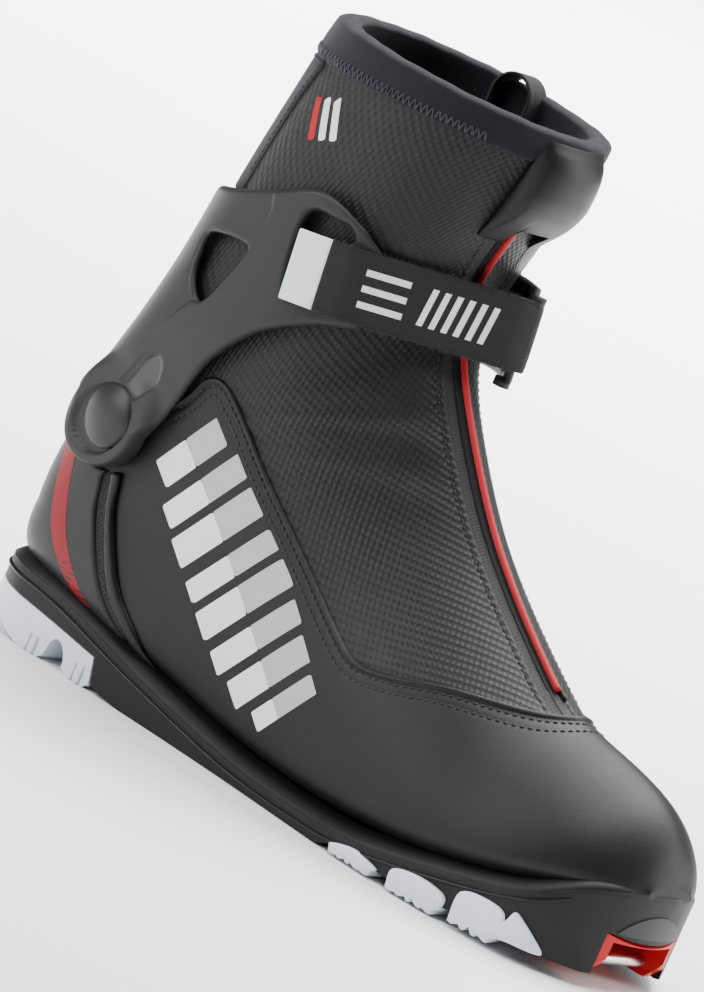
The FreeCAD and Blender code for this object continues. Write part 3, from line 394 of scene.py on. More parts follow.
# ---------------------------------------- lines on the last, threads and tubes
def level_lines(field, level):
    """Lines on the last where a field has a level: rows of point and out direction."""
    marks = field - level
    edge_points, links = {}, {}

    def crossing(a, b):
        key = (min(a, b), max(a, b))
        if key not in edge_points:
            first, second = marks.flat[key[0]], marks.flat[key[1]]
            t = first / (first - second)
            edge_points[key] = np.concatenate([LAST_FLAT[key[0]] * (1 - t) + LAST_FLAT[key[1]] * t,
                                               OUT_FLAT[key[0]] * (1 - t) + OUT_FLAT[key[1]] * t])
        return key

    signs = marks.reshape(-1)[GRID_QUADS] > 0
    for quad in GRID_QUADS[signs.any(1) & ~signs.all(1)]:
        crossed = [crossing(a, b) for a, b in zip(quad, np.roll(quad, -1))
                   if (marks.flat[a] > 0) != (marks.flat[b] > 0)]
        if len(crossed) == 2:
            links.setdefault(crossed[0], []).append(crossed[1])
            links.setdefault(crossed[1], []).append(crossed[0])
    lines, left = [], set(links)
    while left:
        ends = [key for key in left if len(links[key]) == 1]
        here = min(ends) if ends else min(left)
        chain = [here]
        left.discard(here)
        while True:
            onward = [key for key in links[chain[-1]] if key in left]
            if not onward:
                break
            chain.append(onward[0])
            left.discard(onward[0])
        if len(chain) > 5:
            lines.append(np.array([edge_points[key] for key in chain]))
    return lines


def evenly(line, pitch, start=0.0):
    """Rows along a line at an even pitch, with the direction along it."""
    spans = distances(line[:, :3])
    stops = np.arange(start, spans[-1], pitch)
    columns = [np.interp(stops, spans, line[:, c]) for c in range(line.shape[1])]
    ahead = [np.interp(stops + 0.3, spans, line[:, c]) - np.interp(stops - 0.3, spans, line[:, c])
             for c in range(3)]
    along = np.array(ahead).T
    return np.array(columns).T, along / np.maximum(np.linalg.norm(along, axis=1, keepdims=True), 1e-9)


def unit(vectors):
    return vectors / np.maximum(np.linalg.norm(vectors, axis=-1, keepdims=True), 1e-9)


def threads(name, starts, ends, outs, radius, rise, material, around=6, sections=6):
    """Many short thread runs, each arching up from start to end."""
    starts, ends, outs = np.asarray(starts), np.asarray(ends), unit(np.asarray(outs))
    share = np.linspace(0, 1, sections)
    along = unit(ends - starts)
    across = unit(np.cross(outs, along))
    lift = rise * np.sin(math.pi * share) ** 0.6 - radius * 1.1 * (1 - np.sin(math.pi * share) ** 0.5)
    centre = (starts[:, None] + (ends - starts)[:, None] * share[None, :, None]
              + outs[:, None] * lift[None, :, None])
    angle = np.arange(around) / around * 2 * math.pi
    ring = (across[:, None, None] * np.cos(angle)[None, None, :, None]
            + outs[:, None, None] * np.sin(angle)[None, None, :, None]) * radius
    points = (centre[:, :, None] + ring).reshape(-1, 3)
    faces = (np.array(grid_faces(sections, around))[None]
             + np.arange(len(starts))[:, None, None] * around * sections).reshape(-1, 4)
    return make_mesh(name, points, faces, [material])


def stitches(name, lines, pitch, length, radius, height, material):
    """Running stitch along lines on the last."""
    starts, ends, outs = [], [], []
    for line in lines:
        rows, along = evenly(line, pitch, pitch / 2)
        base = rows[:, :3] + rows[:, 3:6] * height
        starts.append(base - along * length / 2)
        ends.append(base + along * length / 2)
        outs.append(rows[:, 3:6])
    return threads(name, np.vstack(starts), np.vstack(ends), np.vstack(outs), radius, radius * 0.9, material)


def tube(name, centres, radius, material, around=10, outs=None):
    """Round cord through the centres."""
    centres = np.asarray(centres, float)
    along = unit(np.gradient(centres, axis=0))
    if outs is None:
        outs = np.tile([0.0, 0.0, 1.0], (len(centres), 1))
    across = unit(np.cross(outs, along))
    up = np.cross(along, across)
    angle = np.arange(around) / around * 2 * math.pi
    radii = np.broadcast_to(radius, (len(centres),))[:, None, None]
    points = centres[:, None] + radii * (across[:, None] * np.cos(angle)[None, :, None]
                                         + up[:, None] * np.sin(angle)[None, :, None])
    count = len(centres)
    faces = grid_faces(count, around)
    faces += [list(range(around))[::-1], [(count - 1) * around + k for k in range(around)]]
    distance = distances(centres)
    uv = np.stack([np.repeat(distance, around), np.tile(angle * np.mean(radius), count)], 1)
    return make_mesh(name, points.reshape(-1, 3), faces, [material], uv)


def bends(piece, *nodes, slot=None):
    """Bake the piece's place into its mesh and hide the CAD nodes it stands for."""
    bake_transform(piece)
    if nodes:
        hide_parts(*nodes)
    return piece


def rides(piece, body, *nodes, slot=None):
    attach(piece, body)
    if nodes:
        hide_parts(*nodes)
    return piece


# ---------------------------------------- procedural materials
class Look:
    """A principled material whose relief is summed in millimetres."""

    def __init__(self, name, color, roughness=0.5, **values):
        self.made = bpy.data.materials.new(name)
        self.made.use_nodes = True
        self.tree = self.made.node_tree
        self.shader = self.tree.nodes["Principled BSDF"]
        self.set(self.shader, "Base Color", (*color, 1.0))
        self.set(self.shader, "Roughness", roughness)
        self.set(self.shader, "Specular IOR Level", 0.25)
        for socket, value in values.items():
            self.set(self.shader, socket.replace("_", " "), value)
        self.color, self.relief = color, []

    def set(self, node, socket, value):
        if isinstance(value, bpy.types.NodeSocket):
            self.tree.links.new(value, node.inputs[socket])
        else:
            node.inputs[socket].default_value = value

    def node(self, kind, inputs=None, output=0, **settings):
        made = self.tree.nodes.new("ShaderNode" + kind)
        for key, value in settings.items():
            setattr(made, key, value)
        for socket, value in (inputs or {}).items():
            self.set(made, socket, value)
        return made.outputs[output]

    def math(self, operation, a, b=0.0, c=0.0):
        return self.node("Math", {0: a, 1: b, 2: c}, operation=operation)

    def uv(self):
        """The two surface coordinates in millimetres."""
        split = self.tree.nodes.new("ShaderNodeSeparateXYZ")
        self.tree.links.new(self.node("UVMap", uv_map="UVMap"), split.inputs[0])
        return split.outputs[0], split.outputs[1]

    def spot(self):
        """Place on the object in millimetres."""
        where = self.node("TexCoord", output=3)
        return self.node("VectorMath", {0: where, "Scale": 1000.0}, operation="SCALE")

    def noise(self, size, detail=3.0, rough=0.55, stretch=None):
        """Noise from 0 to 1 with features of that size in millimetres."""
        where = self.spot()
        if stretch:
            where = self.node("VectorMath", {0: where, 1: stretch}, operation="MULTIPLY")
        return self.node("TexNoise", {"Vector": where, "Scale": 1.0 / size, "Detail": detail,
                                      "Roughness": rough})

    def cells(self, size, feature="F1"):
        return self.node("TexVoronoi", {"Vector": self.spot(), "Scale": 1.0 / size}, feature=feature)

    def ramp(self, value, low, high, to_low=0.0, to_high=1.0):
        return self.node("MapRange", {"Value": value, "From Min": low, "From Max": high, "To Min": to_low,
                                      "To Max": to_high}, interpolation_type="SMOOTHSTEP")

    def wave(self, value, period, shift=0.0):
        """Cosine of a millimetre coordinate."""
        return self.math("COSINE", self.math("MULTIPLY_ADD", value, 2 * math.pi / period, shift))

    def raise_by(self, height, depth):
        self.relief.append(self.math("MULTIPLY", height, depth))

    def tint(self, share, color):
        """Mix the base colour towards another by a share from 0 to 1."""
        socket = self.shader.inputs["Base Color"]
        base = socket.links[0].from_socket if socket.links else socket.default_value[:]
        mix = self.tree.nodes.new("ShaderNodeMix")
        mix.data_type = "RGBA"
        self.set(mix, 0, share)
        self.set(mix, 6, base)
        self.set(mix, 7, (*color, 1.0))
        self.tree.links.new(mix.outputs[2], socket)

    def rough(self, share, low, high):
        self.set(self.shader, "Roughness", self.node(
            "MapRange", {"Value": share, "From Min": 0.0, "From Max": 1.0, "To Min": low, "To Max": high}))

    def done(self):
        if self.relief:
            total = self.relief[0]
            for part in self.relief[1:]:
                total = self.math("ADD", total, part)
            bump = self.tree.nodes.new("ShaderNodeBump")
            self.set(bump, "Strength", 1.0)
            self.set(bump, "Distance", 0.001)
            self.set(bump, "Height", total)
            self.tree.links.new(bump.outputs[0], self.shader.inputs["Normal"])
        return self.made


def weave(look, u, v, pitch_u, pitch_v, depth):
    """Plain weave: threads along u and along v that pass over each other in turn."""
    over_u = look.math("ABSOLUTE", look.wave(v, 2 * pitch_v))
    over_v = look.math("ABSOLUTE", look.wave(u, 2 * pitch_u))
    check = look.ramp(look.math("MULTIPLY", look.wave(u, 2 * pitch_u, math.pi / 2),
                                look.wave(v, 2 * pitch_v, math.pi / 2)), -0.15, 0.15)
    mix = look.tree.nodes.new("ShaderNodeMix")
    look.set(mix, 0, check)
    look.set(mix, 2, over_u)
    look.set(mix, 3, over_v)
    look.raise_by(mix.outputs[0], depth)
    return mix.outputs[0]


def softshell_look():
    look = Look("softshell", (0.0075, 0.0078, 0.008), 0.42, Sheen_Weight=0.04, Sheen_Roughness=0.4)
    u, v = look.uv()
    drift = look.noise(14, 2)
    lattice = look.math("MULTIPLY", look.wave(look.math("MULTIPLY_ADD", drift, 0.8, u), 3.4),
                        look.wave(look.math("MULTIPLY_ADD", drift, 0.6, v), 3.0))
    raised = look.ramp(lattice, -0.2, 0.75)
    shaded_pits = look.ramp(lattice, -0.55, -0.92)
    look.raise_by(raised, 0.13)
    look.raise_by(shaded_pits, -0.16)
    look.raise_by(look.noise(0.35, 2), 0.05)
    # The lighter colour on the raised dashes is a painted highlight, standing in for specular flecks.
    look.tint(look.math("MULTIPLY", raised, 0.35), (0.018, 0.0185, 0.019))
    # The near black colour in the pits is painted shade.
    look.tint(look.math("MULTIPLY", shaded_pits, 0.8), (0.0015, 0.0015, 0.0015))
    look.rough(look.noise(9, 3), 0.38, 0.56)
    return look.done()


def synthetic_look():
    look = Look("black_synthetic", (0.006, 0.0061, 0.0064), 0.5)
    look.raise_by(look.noise(0.5, 4), 0.035)
    look.raise_by(look.cells(1.1, "SMOOTH_F1"), 0.02)
    look.rough(look.noise(18, 4), 0.44, 0.56)
    return look.done()


def moulded_look(name, color, low=0.36, high=0.5, grain=0.012, size=0.28):
    look = Look(name, color, low)
    look.raise_by(look.noise(size, 2), grain)
    look.rough(look.noise(16, 4, 0.6), low, high)
    scuff = look.ramp(look.noise(1.2, 5, 0.75, (0.25, 1.0, 1.4)), 0.66, 0.8)
    look.tint(look.math("MULTIPLY", scuff, 0.18), tuple(min(1.0, c * 1.8 + 0.004) for c in color))
    return look.done()


def rubber_look(name, color, low, high, grime=0.0):
    look = Look(name, color, low)
    look.raise_by(look.noise(0.4, 3), 0.03)
    look.rough(look.noise(10, 4), low, high)
    if grime:
        dirt = look.ramp(look.noise(7, 6, 0.7), 0.55, 0.85)
        look.tint(look.math("MULTIPLY", dirt, grime), (0.45, 0.47, 0.5))
    return look.done()


def steel_look():
    look = Look("steel", (0.62, 0.61, 0.59), 0.28, Metallic=1.0)
    look.raise_by(look.noise(0.5, 4, 0.7, (1.0, 0.04, 1.0)), 0.01)
    look.rough(look.noise(3, 4, 0.7, (1.0, 0.1, 1.0)), 0.2, 0.42)
    return look.done()


def fleece_look():
    look = Look("fleece", (0.004, 0.004, 0.0045), 0.95, Sheen_Weight=0.15, Sheen_Roughness=0.6)
    look.raise_by(look.noise(1.1, 5, 0.75), 0.5)
    look.tint(look.ramp(look.noise(1.3, 5, 0.8), 0.5, 0.75), (0.011, 0.011, 0.0125))
    return look.done()


def tape_look():
    look = Look("zip_tape", (0.0095, 0.0095, 0.01), 0.55, Sheen_Weight=0.04)
    u, v = look.uv()
    weave(look, u, v, 0.45, 0.4, 0.06)
    ribs = look.math("ABSOLUTE", look.wave(u, 2.6))
    look.raise_by(ribs, 0.07)
    look.tint(look.math("MULTIPLY", ribs, 0.25), (0.022, 0.022, 0.023))
    return look.done()


def webbing_look(name, color, bright, pitch=0.62, depth=0.13):
    look = Look(name, color, 0.72, Sheen_Weight=0.06, Sheen_Roughness=0.5)
    u, v = look.uv()
    over = weave(look, u, v, pitch, pitch * 0.9, depth)
    look.tint(look.ramp(over, 0.35, 1.0, 0.0, 0.7), bright)
    look.raise_by(look.noise(0.2, 3), 0.05)
    return look.done()


def knit_look(name, color, bright):
    look = Look(name, color, 0.85, Sheen_Weight=0.08, Sheen_Roughness=0.5)
    u, v = look.uv()
    knit = look.math("MULTIPLY", look.wave(u, 0.9), look.wave(v, 0.7))
    look.raise_by(knit, 0.05)
    look.raise_by(look.noise(0.3, 3), 0.05)
    look.tint(look.ramp(knit, 0.2, 1.0, 0.0, 0.4), bright)
    return look.done()


def cord_look(name, color, pitch=0.8):
    look = Look(name, color, 0.5, Sheen_Weight=0.1)
    u, v = look.uv()
    look.raise_by(look.wave(look.math("ADD", u, v), pitch), 0.03)
    look.raise_by(look.noise(0.3, 2), 0.02)
    return look.done()


def thread_look(name, color):
    look = Look(name, color, 0.5, Sheen_Weight=0.2)
    look.raise_by(look.noise(0.25, 2), 0.04)
    return look.done()


def print_look(name, color, speck):
    look = Look(name, color, 0.45)
    look.tint(look.ramp(look.noise(0.45, 3, 0.7), 0.5, 0.72, 0.0, 0.6), speck)
    look.raise_by(look.noise(0.5, 3), 0.03)
    return look.done()


SOFTSHELL = softshell_look()
SYNTHETIC = synthetic_look()
CUFF = moulded_look("cuff_plastic", (0.0185, 0.0185, 0.0185), 0.4, 0.5)
CAP = moulded_look("cap_plastic", (0.017, 0.017, 0.0175), 0.32, 0.4)
GLOSS = moulded_look("glossy_plastic", (0.045, 0.045, 0.044), 0.16, 0.24, 0.004)
COUNTER = moulded_look("dark_plastic", (0.016, 0.016, 0.0175), 0.38, 0.5)
LIP = moulded_look("black_gloss", (0.005, 0.005, 0.0055), 0.24, 0.34)
SOLE = rubber_look("black_sole", (0.0065, 0.0065, 0.007), 0.46, 0.6)
TREAD = rubber_look("white_rubber", (0.68, 0.72, 0.8), 0.42, 0.55, 0.3)
RED = moulded_look("red_plastic", (0.42, 0.006, 0.006), 0.34, 0.46)
NOSE = moulded_look("grey_plastic", (0.028, 0.028, 0.029), 0.42, 0.52)
STEEL = steel_look()
FLEECE = fleece_look()
TAPE = tape_look()
PIPING = cord_look("red_piping", (0.36, 0.001, 0.008))
WEBBING = webbing_look("webbing", (0.004, 0.004, 0.0042), (0.02, 0.02, 0.0205))
TIP = webbing_look("white_tip", (0.66, 0.69, 0.72), (0.82, 0.84, 0.86), 0.5, 0.05)
BINDING = knit_look("binding", (0.004, 0.0046, 0.0085), (0.011, 0.012, 0.019))
PANEL = knit_look("stretch_panel", (0.007, 0.0075, 0.0095), (0.016, 0.017, 0.021))
MESH_LOOK = webbing_look("mesh", (0.004, 0.004, 0.0045), (0.03, 0.03, 0.031), 1.0, 0.3)
GARAGE = rubber_look("garage_rubber", (0.007, 0.0072, 0.0075), 0.42, 0.5)
THREAD = thread_look("black_thread", (0.009, 0.009, 0.0095))
NAVY_THREAD = thread_look("navy_thread", (0.018, 0.02, 0.032))
RED_TAPE = print_look("red_tape", (0.2, 0.003, 0.008), (0.3, 0.015, 0.022))
WHITE_PRINT = print_look("white_print", (0.74, 0.77, 0.78), (0.6, 0.62, 0.63))
SILVER_PRINT = print_look("silver_print", (0.4, 0.405, 0.41), (0.28, 0.285, 0.29))
RED_PRINT = print_look("red_print", (0.36, 0.006, 0.008), (0.26, 0.006, 0.008))
LACE = cord_look("lace_cord", (0.012, 0.012, 0.013))
FOAM = knit_look("footbed_foam", (0.02, 0.02, 0.023), (0.04, 0.04, 0.044))
DARK_METAL = Look("zip_metal", (0.045, 0.045, 0.046), 0.35, Metallic=0.7).done()

# ---------------------------------------- regions shared by the pieces
FEATHER = [(-4, 24), (25, 25), (54, 22.6), (93, 15), (130, 9), (155, 6.4), (185, 6.2), (212, 8), (257, 17),
           (281, 24), (297, 33), (312, 37)]
feather_line = curve(FEATHER)
ABOVE_FEATHER = within(np.vstack([feather_line, [(330, 330), (-60, 330)]]))
TO_PIVOT = np.hypot(X - PIVOT[0], Z - PIVOT[1])
CREST_HALF = np.broadcast_to((V_AT < 7) | (V_AT > 21), X.shape)


def crest_from(x_start):
    """Field that is inside on the crest half of each ring, forward of an x, and outside elsewhere."""
    return np.where(CREST_HALF & (X > x_start), AWAY, -AWAY)


AWAY = 99.0
slot_distance = np.where(CREST_HALF & (X > 100), np.abs(Y) - 9.7, AWAY)

BORDER = [(268, 86), (252, 78), (240, 70.5), (214, 66), (196, 61), (181, 59), (168, 64), (143, 79), (117, 96),
          (101, 108.4), (94, 113.5), (88, 117.2), (82, 118.4), (76.5, 115.6), (72, 108), (62, 98)]
border_line = curve(BORDER)
OVERLAY = within(np.vstack([border_line, [(50, 103), (20, 103.5), (-30, 103.5), (-30, -40), (340, -40),
                                          (340, 130)]]))

pivot_angle = np.degrees(np.arctan2(Z - PIVOT[1], X - PIVOT[0]))
crease = (np.sin((pivot_angle - 8) / 5.2 * math.pi) * np.exp(-((pivot_angle - 22) / 11)**2)
          * ease((TO_PIVOT - 45) / 35) * ease((250 - X) / 60))
sway = np.sin(X / 17 + Z / 23 + Y / 31) * np.sin(Z / 19 - X / 29 + Y / 13)
SOFTNESS = 0.55 * crease + 0.35 * sway * ease((Z - 80) / 40)

# ---------------------------------------- softshell and overlay
shell_field = np.minimum.reduce([slot_distance, 238.0 - Z, 7.0 - OVERLAY])


def softshell_height(patch):
    turned_in = rim_height(np.maximum(patch.column("slot"), 0), -0.7, 0.7, 0.9)
    seam = -0.35 * np.exp(-((patch.column("slot") - 2.2) / 0.45)**2)
    return turned_in + seam + patch.column("soft") * ease(patch.column("slot") / 12) + 0.02


softshell = skin("softshell_cover", shell_field, softshell_height, [SOFTSHELL],
                 (0.0, 0.3, 0.8, 1.6, 2.3, 3.2), (("slot", slot_distance), ("soft", SOFTNESS)))
bends(softshell, "quarter_softshell", "ankle_flex_softshell", "shaft_softshell_lateral",
      "shaft_softshell_medial", slot="softshell")
slot_lines = [line for line in level_lines(slot_distance, 2.2) if line[:, 2].max() > 100]
slot_lines = [line[(line[:, 2] < 228) & (line[:, 2] > 73)] for line in slot_lines]
seam_thread = stitches("zip_seam_stitches", slot_lines, 2.6, 1.8, 0.26, -0.1, THREAD)
bends(seam_thread)

below_border = np.minimum(OVERLAY, ABOVE_FEATHER + 6)
main_field = np.minimum(below_border, X - 55)


def overlay_height(patch):
    away = patch.column("border")
    bead = 0.75 * np.sqrt(np.clip(1 - ((away - 1.0) / 1.0)**2, 0, 1))
    groove = -0.16 * (np.exp(-((away - 3.0) / 0.5)**2) + np.exp(-((away - 6.0) / 0.5)**2))
    return 0.62 * ease(away / 0.9) + bead + groove + 0.12


overlay = skin("smooth_overlay", main_field, overlay_height, [SYNTHETIC],
               (0.0, 0.12, 0.4, 0.8, 1.2, 1.6, 1.88, 2.1, 2.6, 3.0, 3.5), (("border", OVERLAY),))
bends(overlay, "vamp_toe", "vamp_lateral", "vamp_medial", slot="black_synthetic")
heel_field = np.minimum(below_border, 57 - X)
heel_overlay = skin("heel_overlay", heel_field, lambda patch: 0.55 * ease(patch.column("field") / 1.5),
                    [SYNTHETIC])
rides(heel_overlay, "root", "vamp_heel", slot="black_synthetic")

# The surface ends in a small ring at the toe tip, which the overlay closes.
tip_ring = np.arange(0, ROUND, 6)
ring_edge = LAST[0, tip_ring] + 0.72 * OUT[0, tip_ring]
tip_points = np.vstack([ring_edge, ring_edge * 0.5 + ring_edge.mean(0) * 0.5 + (0.25, 0, 0),
                        [ring_edge.mean(0) + (0.35, 0, 0)]])
around_tip = len(tip_ring)
tip_faces = grid_faces(2, around_tip)
tip_faces += [[around_tip + k, around_tip + (k + 1) % around_tip, 2 * around_tip] for k in range(around_tip)]
bends(make_mesh("toe_tip_cover", tip_points, tip_faces, [SYNTHETIC], tip_points[:, 1:]))


def runs(line, kept):
    """The stretches of a line where kept is true."""
    breaks = np.flatnonzero(np.diff(kept.astype(int))) + 1
    return [part for part, keep in zip(np.split(line, breaks), np.split(kept, breaks))
            if keep[0] and len(part) > 8]


for row_number, distance in enumerate((3.0, 6.0)):
    lines = [part for line in level_lines(OVERLAY, distance)
             for part in runs(line, (line[:, 0] > 70) & (line[:, 2] > 50))]
    bends(stitches("border_stitches_%d" % row_number, lines, 2.75, 2.0, 0.3, 0.62, THREAD))

# ---------------------------------------- zip: tape, closed line, piping
tape_field = np.minimum.reduce([11.2 - np.abs(Y), crest_from(100), 236.0 - Z,
                                1.5 - OVERLAY])


def tape_height(patch):
    y = patch.points(0)[:, 1]
    groove = -0.45 * np.exp(-((y + 6.2) / 0.28)**2)
    ridges = 0.18 * (np.exp(-((y + 6.9) / 0.45)**2) + np.exp(-((y + 5.5) / 0.45)**2))
    cover = 0.55 * ease((y + 1.9) / 0.8)
    return -0.5 + groove + ridges + cover


def tape_slots(patch):
    y = patch.points(0)[:, 1]
    return [1 if y[face].mean() > -1.5 else 0 for face in patch.faces]


tape = skin("zip_tape_cover", tape_field, tape_height, [TAPE, SOFTSHELL], (0.0, 0.5), slots=tape_slots)
bends(tape, "zip_tape_lower", "zip_tape_ankle", "zip_tape_upper", slot="zip_tape")


def crest_line(y, lift, z_low, z_high, count=160):
    """Points down the front of the boot at one distance from the middle."""
    side = -1 if y < 0 else 1
    columns = np.arange(1, 100) if side < 0 else ROUND - np.arange(1, 100)
    rows = []
    for i in range(0, ALONG, 2):
        ys, points, outs = Y[i, columns], LAST[i, columns], OUT[i, columns]
        k = int(np.argmax(np.abs(ys) > abs(y)))
        t = (abs(y) - abs(ys[k - 1])) / (abs(ys[k]) - abs(ys[k - 1])) if k else 0.0
        point = points[k - 1] * (1 - t) + points[k] * t if k else points[0]
        out = outs[max(k - 1, 0)]
        rows.append(np.concatenate([point + lift * out, out]))
    rows = np.array(rows)
    rows = rows[(rows[:, 2] >= z_low) & (rows[:, 2] <= z_high) & (rows[:, 0] < 250)]
    picked = np.linspace(0, len(rows) - 1, count)
    return np.array([np.interp(picked, np.arange(len(rows)), rows[:, c]) for c in range(6)]).T


piping_line = crest_line(-3.0, 0.75, 76.5, 205)
piping = tube("zip_piping", piping_line[:, :3], 1.2, PIPING, 12, outs=piping_line[:, 3:6])
bends(piping, "zip_piping_lower", "zip_piping_upper", slot="red_piping")
welt_line = crest_line(-1.3, 0.25, 74.5, 206)
bends(tube("piping_welt", welt_line[:, :3], 0.75, SOFTSHELL, 8, outs=welt_line[:, 3:6]))
teeth_rows = [crest_line(-6.2 + shift, -0.35, 76, 228, 900) for shift in (-0.55, 0.55)]
coil_starts, coil_ends, coil_outs = [], [], []
for left, right in zip(teeth_rows[0][::3], teeth_rows[1][::3]):
    coil_starts.append(left[:3])
    coil_ends.append(right[:3])
    coil_outs.append(left[3:6])
coil = threads("zip_coil", coil_starts, coil_ends, coil_outs, 0.2, 0.25, LIP, 5, 4)
bends(coil, "zip_coil_lower", "zip_coil_upper", slot="zip_coil")

# ---------------------------------------- lining, footbed, tongue and laces
liner_field = np.minimum(240.0 - Z, 3.0 + ABOVE_FEATHER)
liner = skin("fleece_lining", liner_field, lambda patch: -6.8 + 0.0 * patch.column("field"), [FLEECE])
bends(liner, "liner_foot", "liner_ankle", "liner_shaft", slot="fleece")
tongue_field = np.minimum.reduce([25.0 - np.abs(Y), crest_from(110), 229.0 - Z,
                                  232.0 - X])
tongue = skin("tongue_pad", tongue_field,
              lambda patch: rim_height(patch.column("field"), -7.6, -1.6, 3.0), [FLEECE],
              (0.0, 1.0, 2.0, 3.0))
bends(tongue, "tongue", slot="fleece")
footbed_field = np.minimum(np.where(CREST_HALF, -AWAY, 17.0 - (Z - smooth([0, 60, 120, 185, 250, 304],
                                                                         [22, 17, 9, 6.5, 14, 32], X))), AWAY)
footbed = skin("footbed_top", footbed_field,
               lambda patch: rim_height(patch.column("field"), -6.9, -2.2, 4.0), [FOAM],
               (0.0, 1.0, 2.5))
rides(footbed, "root", "footbed", slot="footbed_foam")

for number in range(5):
    step = (6.1 + 2.8 * number / 4) * SPANS / 17
    i = int(round(step * (ALONG - 1) / SPANS))
    columns = np.concatenate([np.arange(44, -1, -4), ROUND - np.arange(4, 45, 4)])
    centres = LAST[i, columns] - 3.75 * OUT[i, columns]
    lace = tube("lace_%d" % number, centres, 0.8, LACE, 8, outs=OUT[i, columns])
    if number:
        rides(lace, "root")
    else:
        rides(lace, "root", "laces", slot="lace_cord")

# ---------------------------------------- heel counter, its slot and lip, accent tape
COUNTER_FRONT = [(57, 72), (61, 58), (75, 38), (90, 26.6), (104, 15)]
SLOT_FRONT = [(53, 72), (58, 56), (71, 36), (86, 24), (96, 16)]
SLOT_BACK = [(49, 68), (53, 54), (66, 35), (81, 23), (88, 17)]
COUNTER_TOP = [(52, 74), (32, 95), (20, 99)]
arm_gap = TO_PIVOT - 18.6
back_line, slot_line, front_line = curve(SLOT_BACK), curve(SLOT_FRONT), curve(COUNTER_FRONT)
top_line = np.array(COUNTER_TOP)
counter_area = within(np.vstack([back_line[::-1], top_line, [(-20, 99), (-20, -10), (88, -10)]]))
counter_field = np.minimum.reduce([counter_area, ABOVE_FEATHER + 1.0, arm_gap])
ribs = 0.75 * np.abs(np.sin((Z - 24) / 24 * math.pi)) ** 0.7 * ease((34 - X) / 14) * ease((96 - Z) / 14)


def counter_outer(patch):
    away = patch.column("field")
    return 1.7 + 0.95 * rounded(away, 1.1) + patch.column("ribs")


def counter_inner(patch):
    return 1.7 - 0.9 * rounded(patch.column("field"), 0.6)


counter = shell("counter_cover", counter_field, counter_outer, counter_inner, [COUNTER],
                (0.0, 0.15, 0.4, 0.75, 1.1), (("ribs", ribs),))
rides(counter, "root", "heel_counter", slot="dark_plastic")
lip_area = within(np.vstack([front_line, slot_line[::-1]]))
lip_field = np.minimum.reduce([lip_area, ABOVE_FEATHER + 1.0, arm_gap])
lip = shell("counter_lip_cover", lip_field,
            lambda patch: 1.9 + 1.3 * rim_height(patch.column("field"), 0, 1, 1.6),
            lambda patch: 1.9 - 1.2 * rim_height(patch.column("field"), 0, 1, 1.6), [LIP],
            (0.0, 0.2, 0.5, 1.0, 1.6))
rides(lip, "root", "counter_lip", slot="black_gloss")
mesh_area = within(np.vstack([slot_line + (1.5, 0), back_line[::-1] - (1.5, 0)]))
mesh_field = np.minimum.reduce([mesh_area, ABOVE_FEATHER + 1.0, arm_gap])
slot_mesh = skin("slot_mesh", mesh_field, 1.15, [MESH_LOOK])
rides(slot_mesh, "root", "counter_slot_mesh", slot="mesh")

tape_left = curve([(26, 79), (29, 62), (36, 44), (50, 31), (63, 24.6)])
tape_right = curve([(66, 26), (56, 33), (44, 45), (36.4, 62), (33.4, 80)])
accent_area = within(np.vstack([tape_left, tape_right]))
hatch = np.sin((X - Z) / 1.9 * math.pi) * np.sin((X + Z) / 1.9 * math.pi)
accent_field = np.minimum.reduce([accent_area, ABOVE_FEATHER - 0.6, arm_gap - 0.5,
                                  np.where((X > 44) & (Z < 37), hatch * 0.6 + 0.25, AWAY)])
accent = skin("accent_tape", accent_field, lambda patch: 2.74 + patch.column("ribs"), [RED_TAPE], (0.0,),
              (("ribs", ribs),))
rides(accent, "root", "heel_accent_tape", slot="red_tape")

# ---------------------------------------- cuff
CUFF_REAR = [(34, 92), (28, 99), (18, 104), (0, 105.5)]
CUFF_TOP = [(0, 171), (30, 174), (57, 179), (78, 185.5), (90, 191), (97, 192.7), (105, 191), (114, 186.5)]
LOW_EDGE = [(121, 152.4), (110, 149.3), (99, 143.2), (91, 137.5), (82, 127.2), (77, 118.6), (70, 99),
            (64.2, 88)]
WINDOW = [(57, 161.6), (57.6, 153), (60, 146.2), (66, 139.8), (70.5, 144.5), (74.5, 155), (76.6, 161.5),
          (75.5, 164.6), (66, 164.4)]


def arm_area(front_x):
    """Signed side view distance of one arm, with a round end about the ankle pin."""
    low = np.array([(front_x, LOW_EDGE[0][1] + 0.5)] + LOW_EDGE[1:])
    outline = np.vstack([curve(CUFF_TOP), curve([(116, 185), (front_x, 178), (front_x, 160)]), curve(low),
                         [(62, 80), (47, 71.5), (33, 80)], curve(CUFF_REAR), [(-12, 105.5), (-12, 171)]])
    body = within(outline)
    foot = 17.0 - TO_PIVOT
    return np.where(Z < 96, np.maximum(np.where(Z > PIVOT[1], body, -AWAY), foot), np.maximum(body, foot))


window_area = within(curve(WINDOW, 8, True))
TIP_SLOT = [(93.8, 183.0), (96.0, 156.5), (104, 155.5), (112, 158), (112, 182), (104, 185.6)]
tip_area = within(curve(TIP_SLOT, 8, True))
lateral_area = np.minimum(arm_area(121.0), -tip_area)
cuff_area = np.where(OUTER_SIDE, lateral_area, arm_area(130.0))
cuff_field = np.minimum.reduce([cuff_area, -window_area, np.where(X < 150, AWAY, -AWAY),
                                np.where(CREST_HALF & (X > 100) & (np.abs(Y) < 16), -AWAY, AWAY)])
strut_line = curve([(79, 187.0), (81.5, 179.2), (80.5, 169.9), (76.6, 155.5), (70.5, 144.5), (66, 139.8),
                    (58, 128.7), (53, 121)])
strut_away, strut_share = line_distance(strut_line)
rear_of_strut = within(np.vstack([strut_line, [(20, 110), (-30, 110), (-30, 240), (79, 240)]])) > 0
strut_step = np.where(rear_of_strut, 1 - ease(strut_away / 1.1), 1.0)
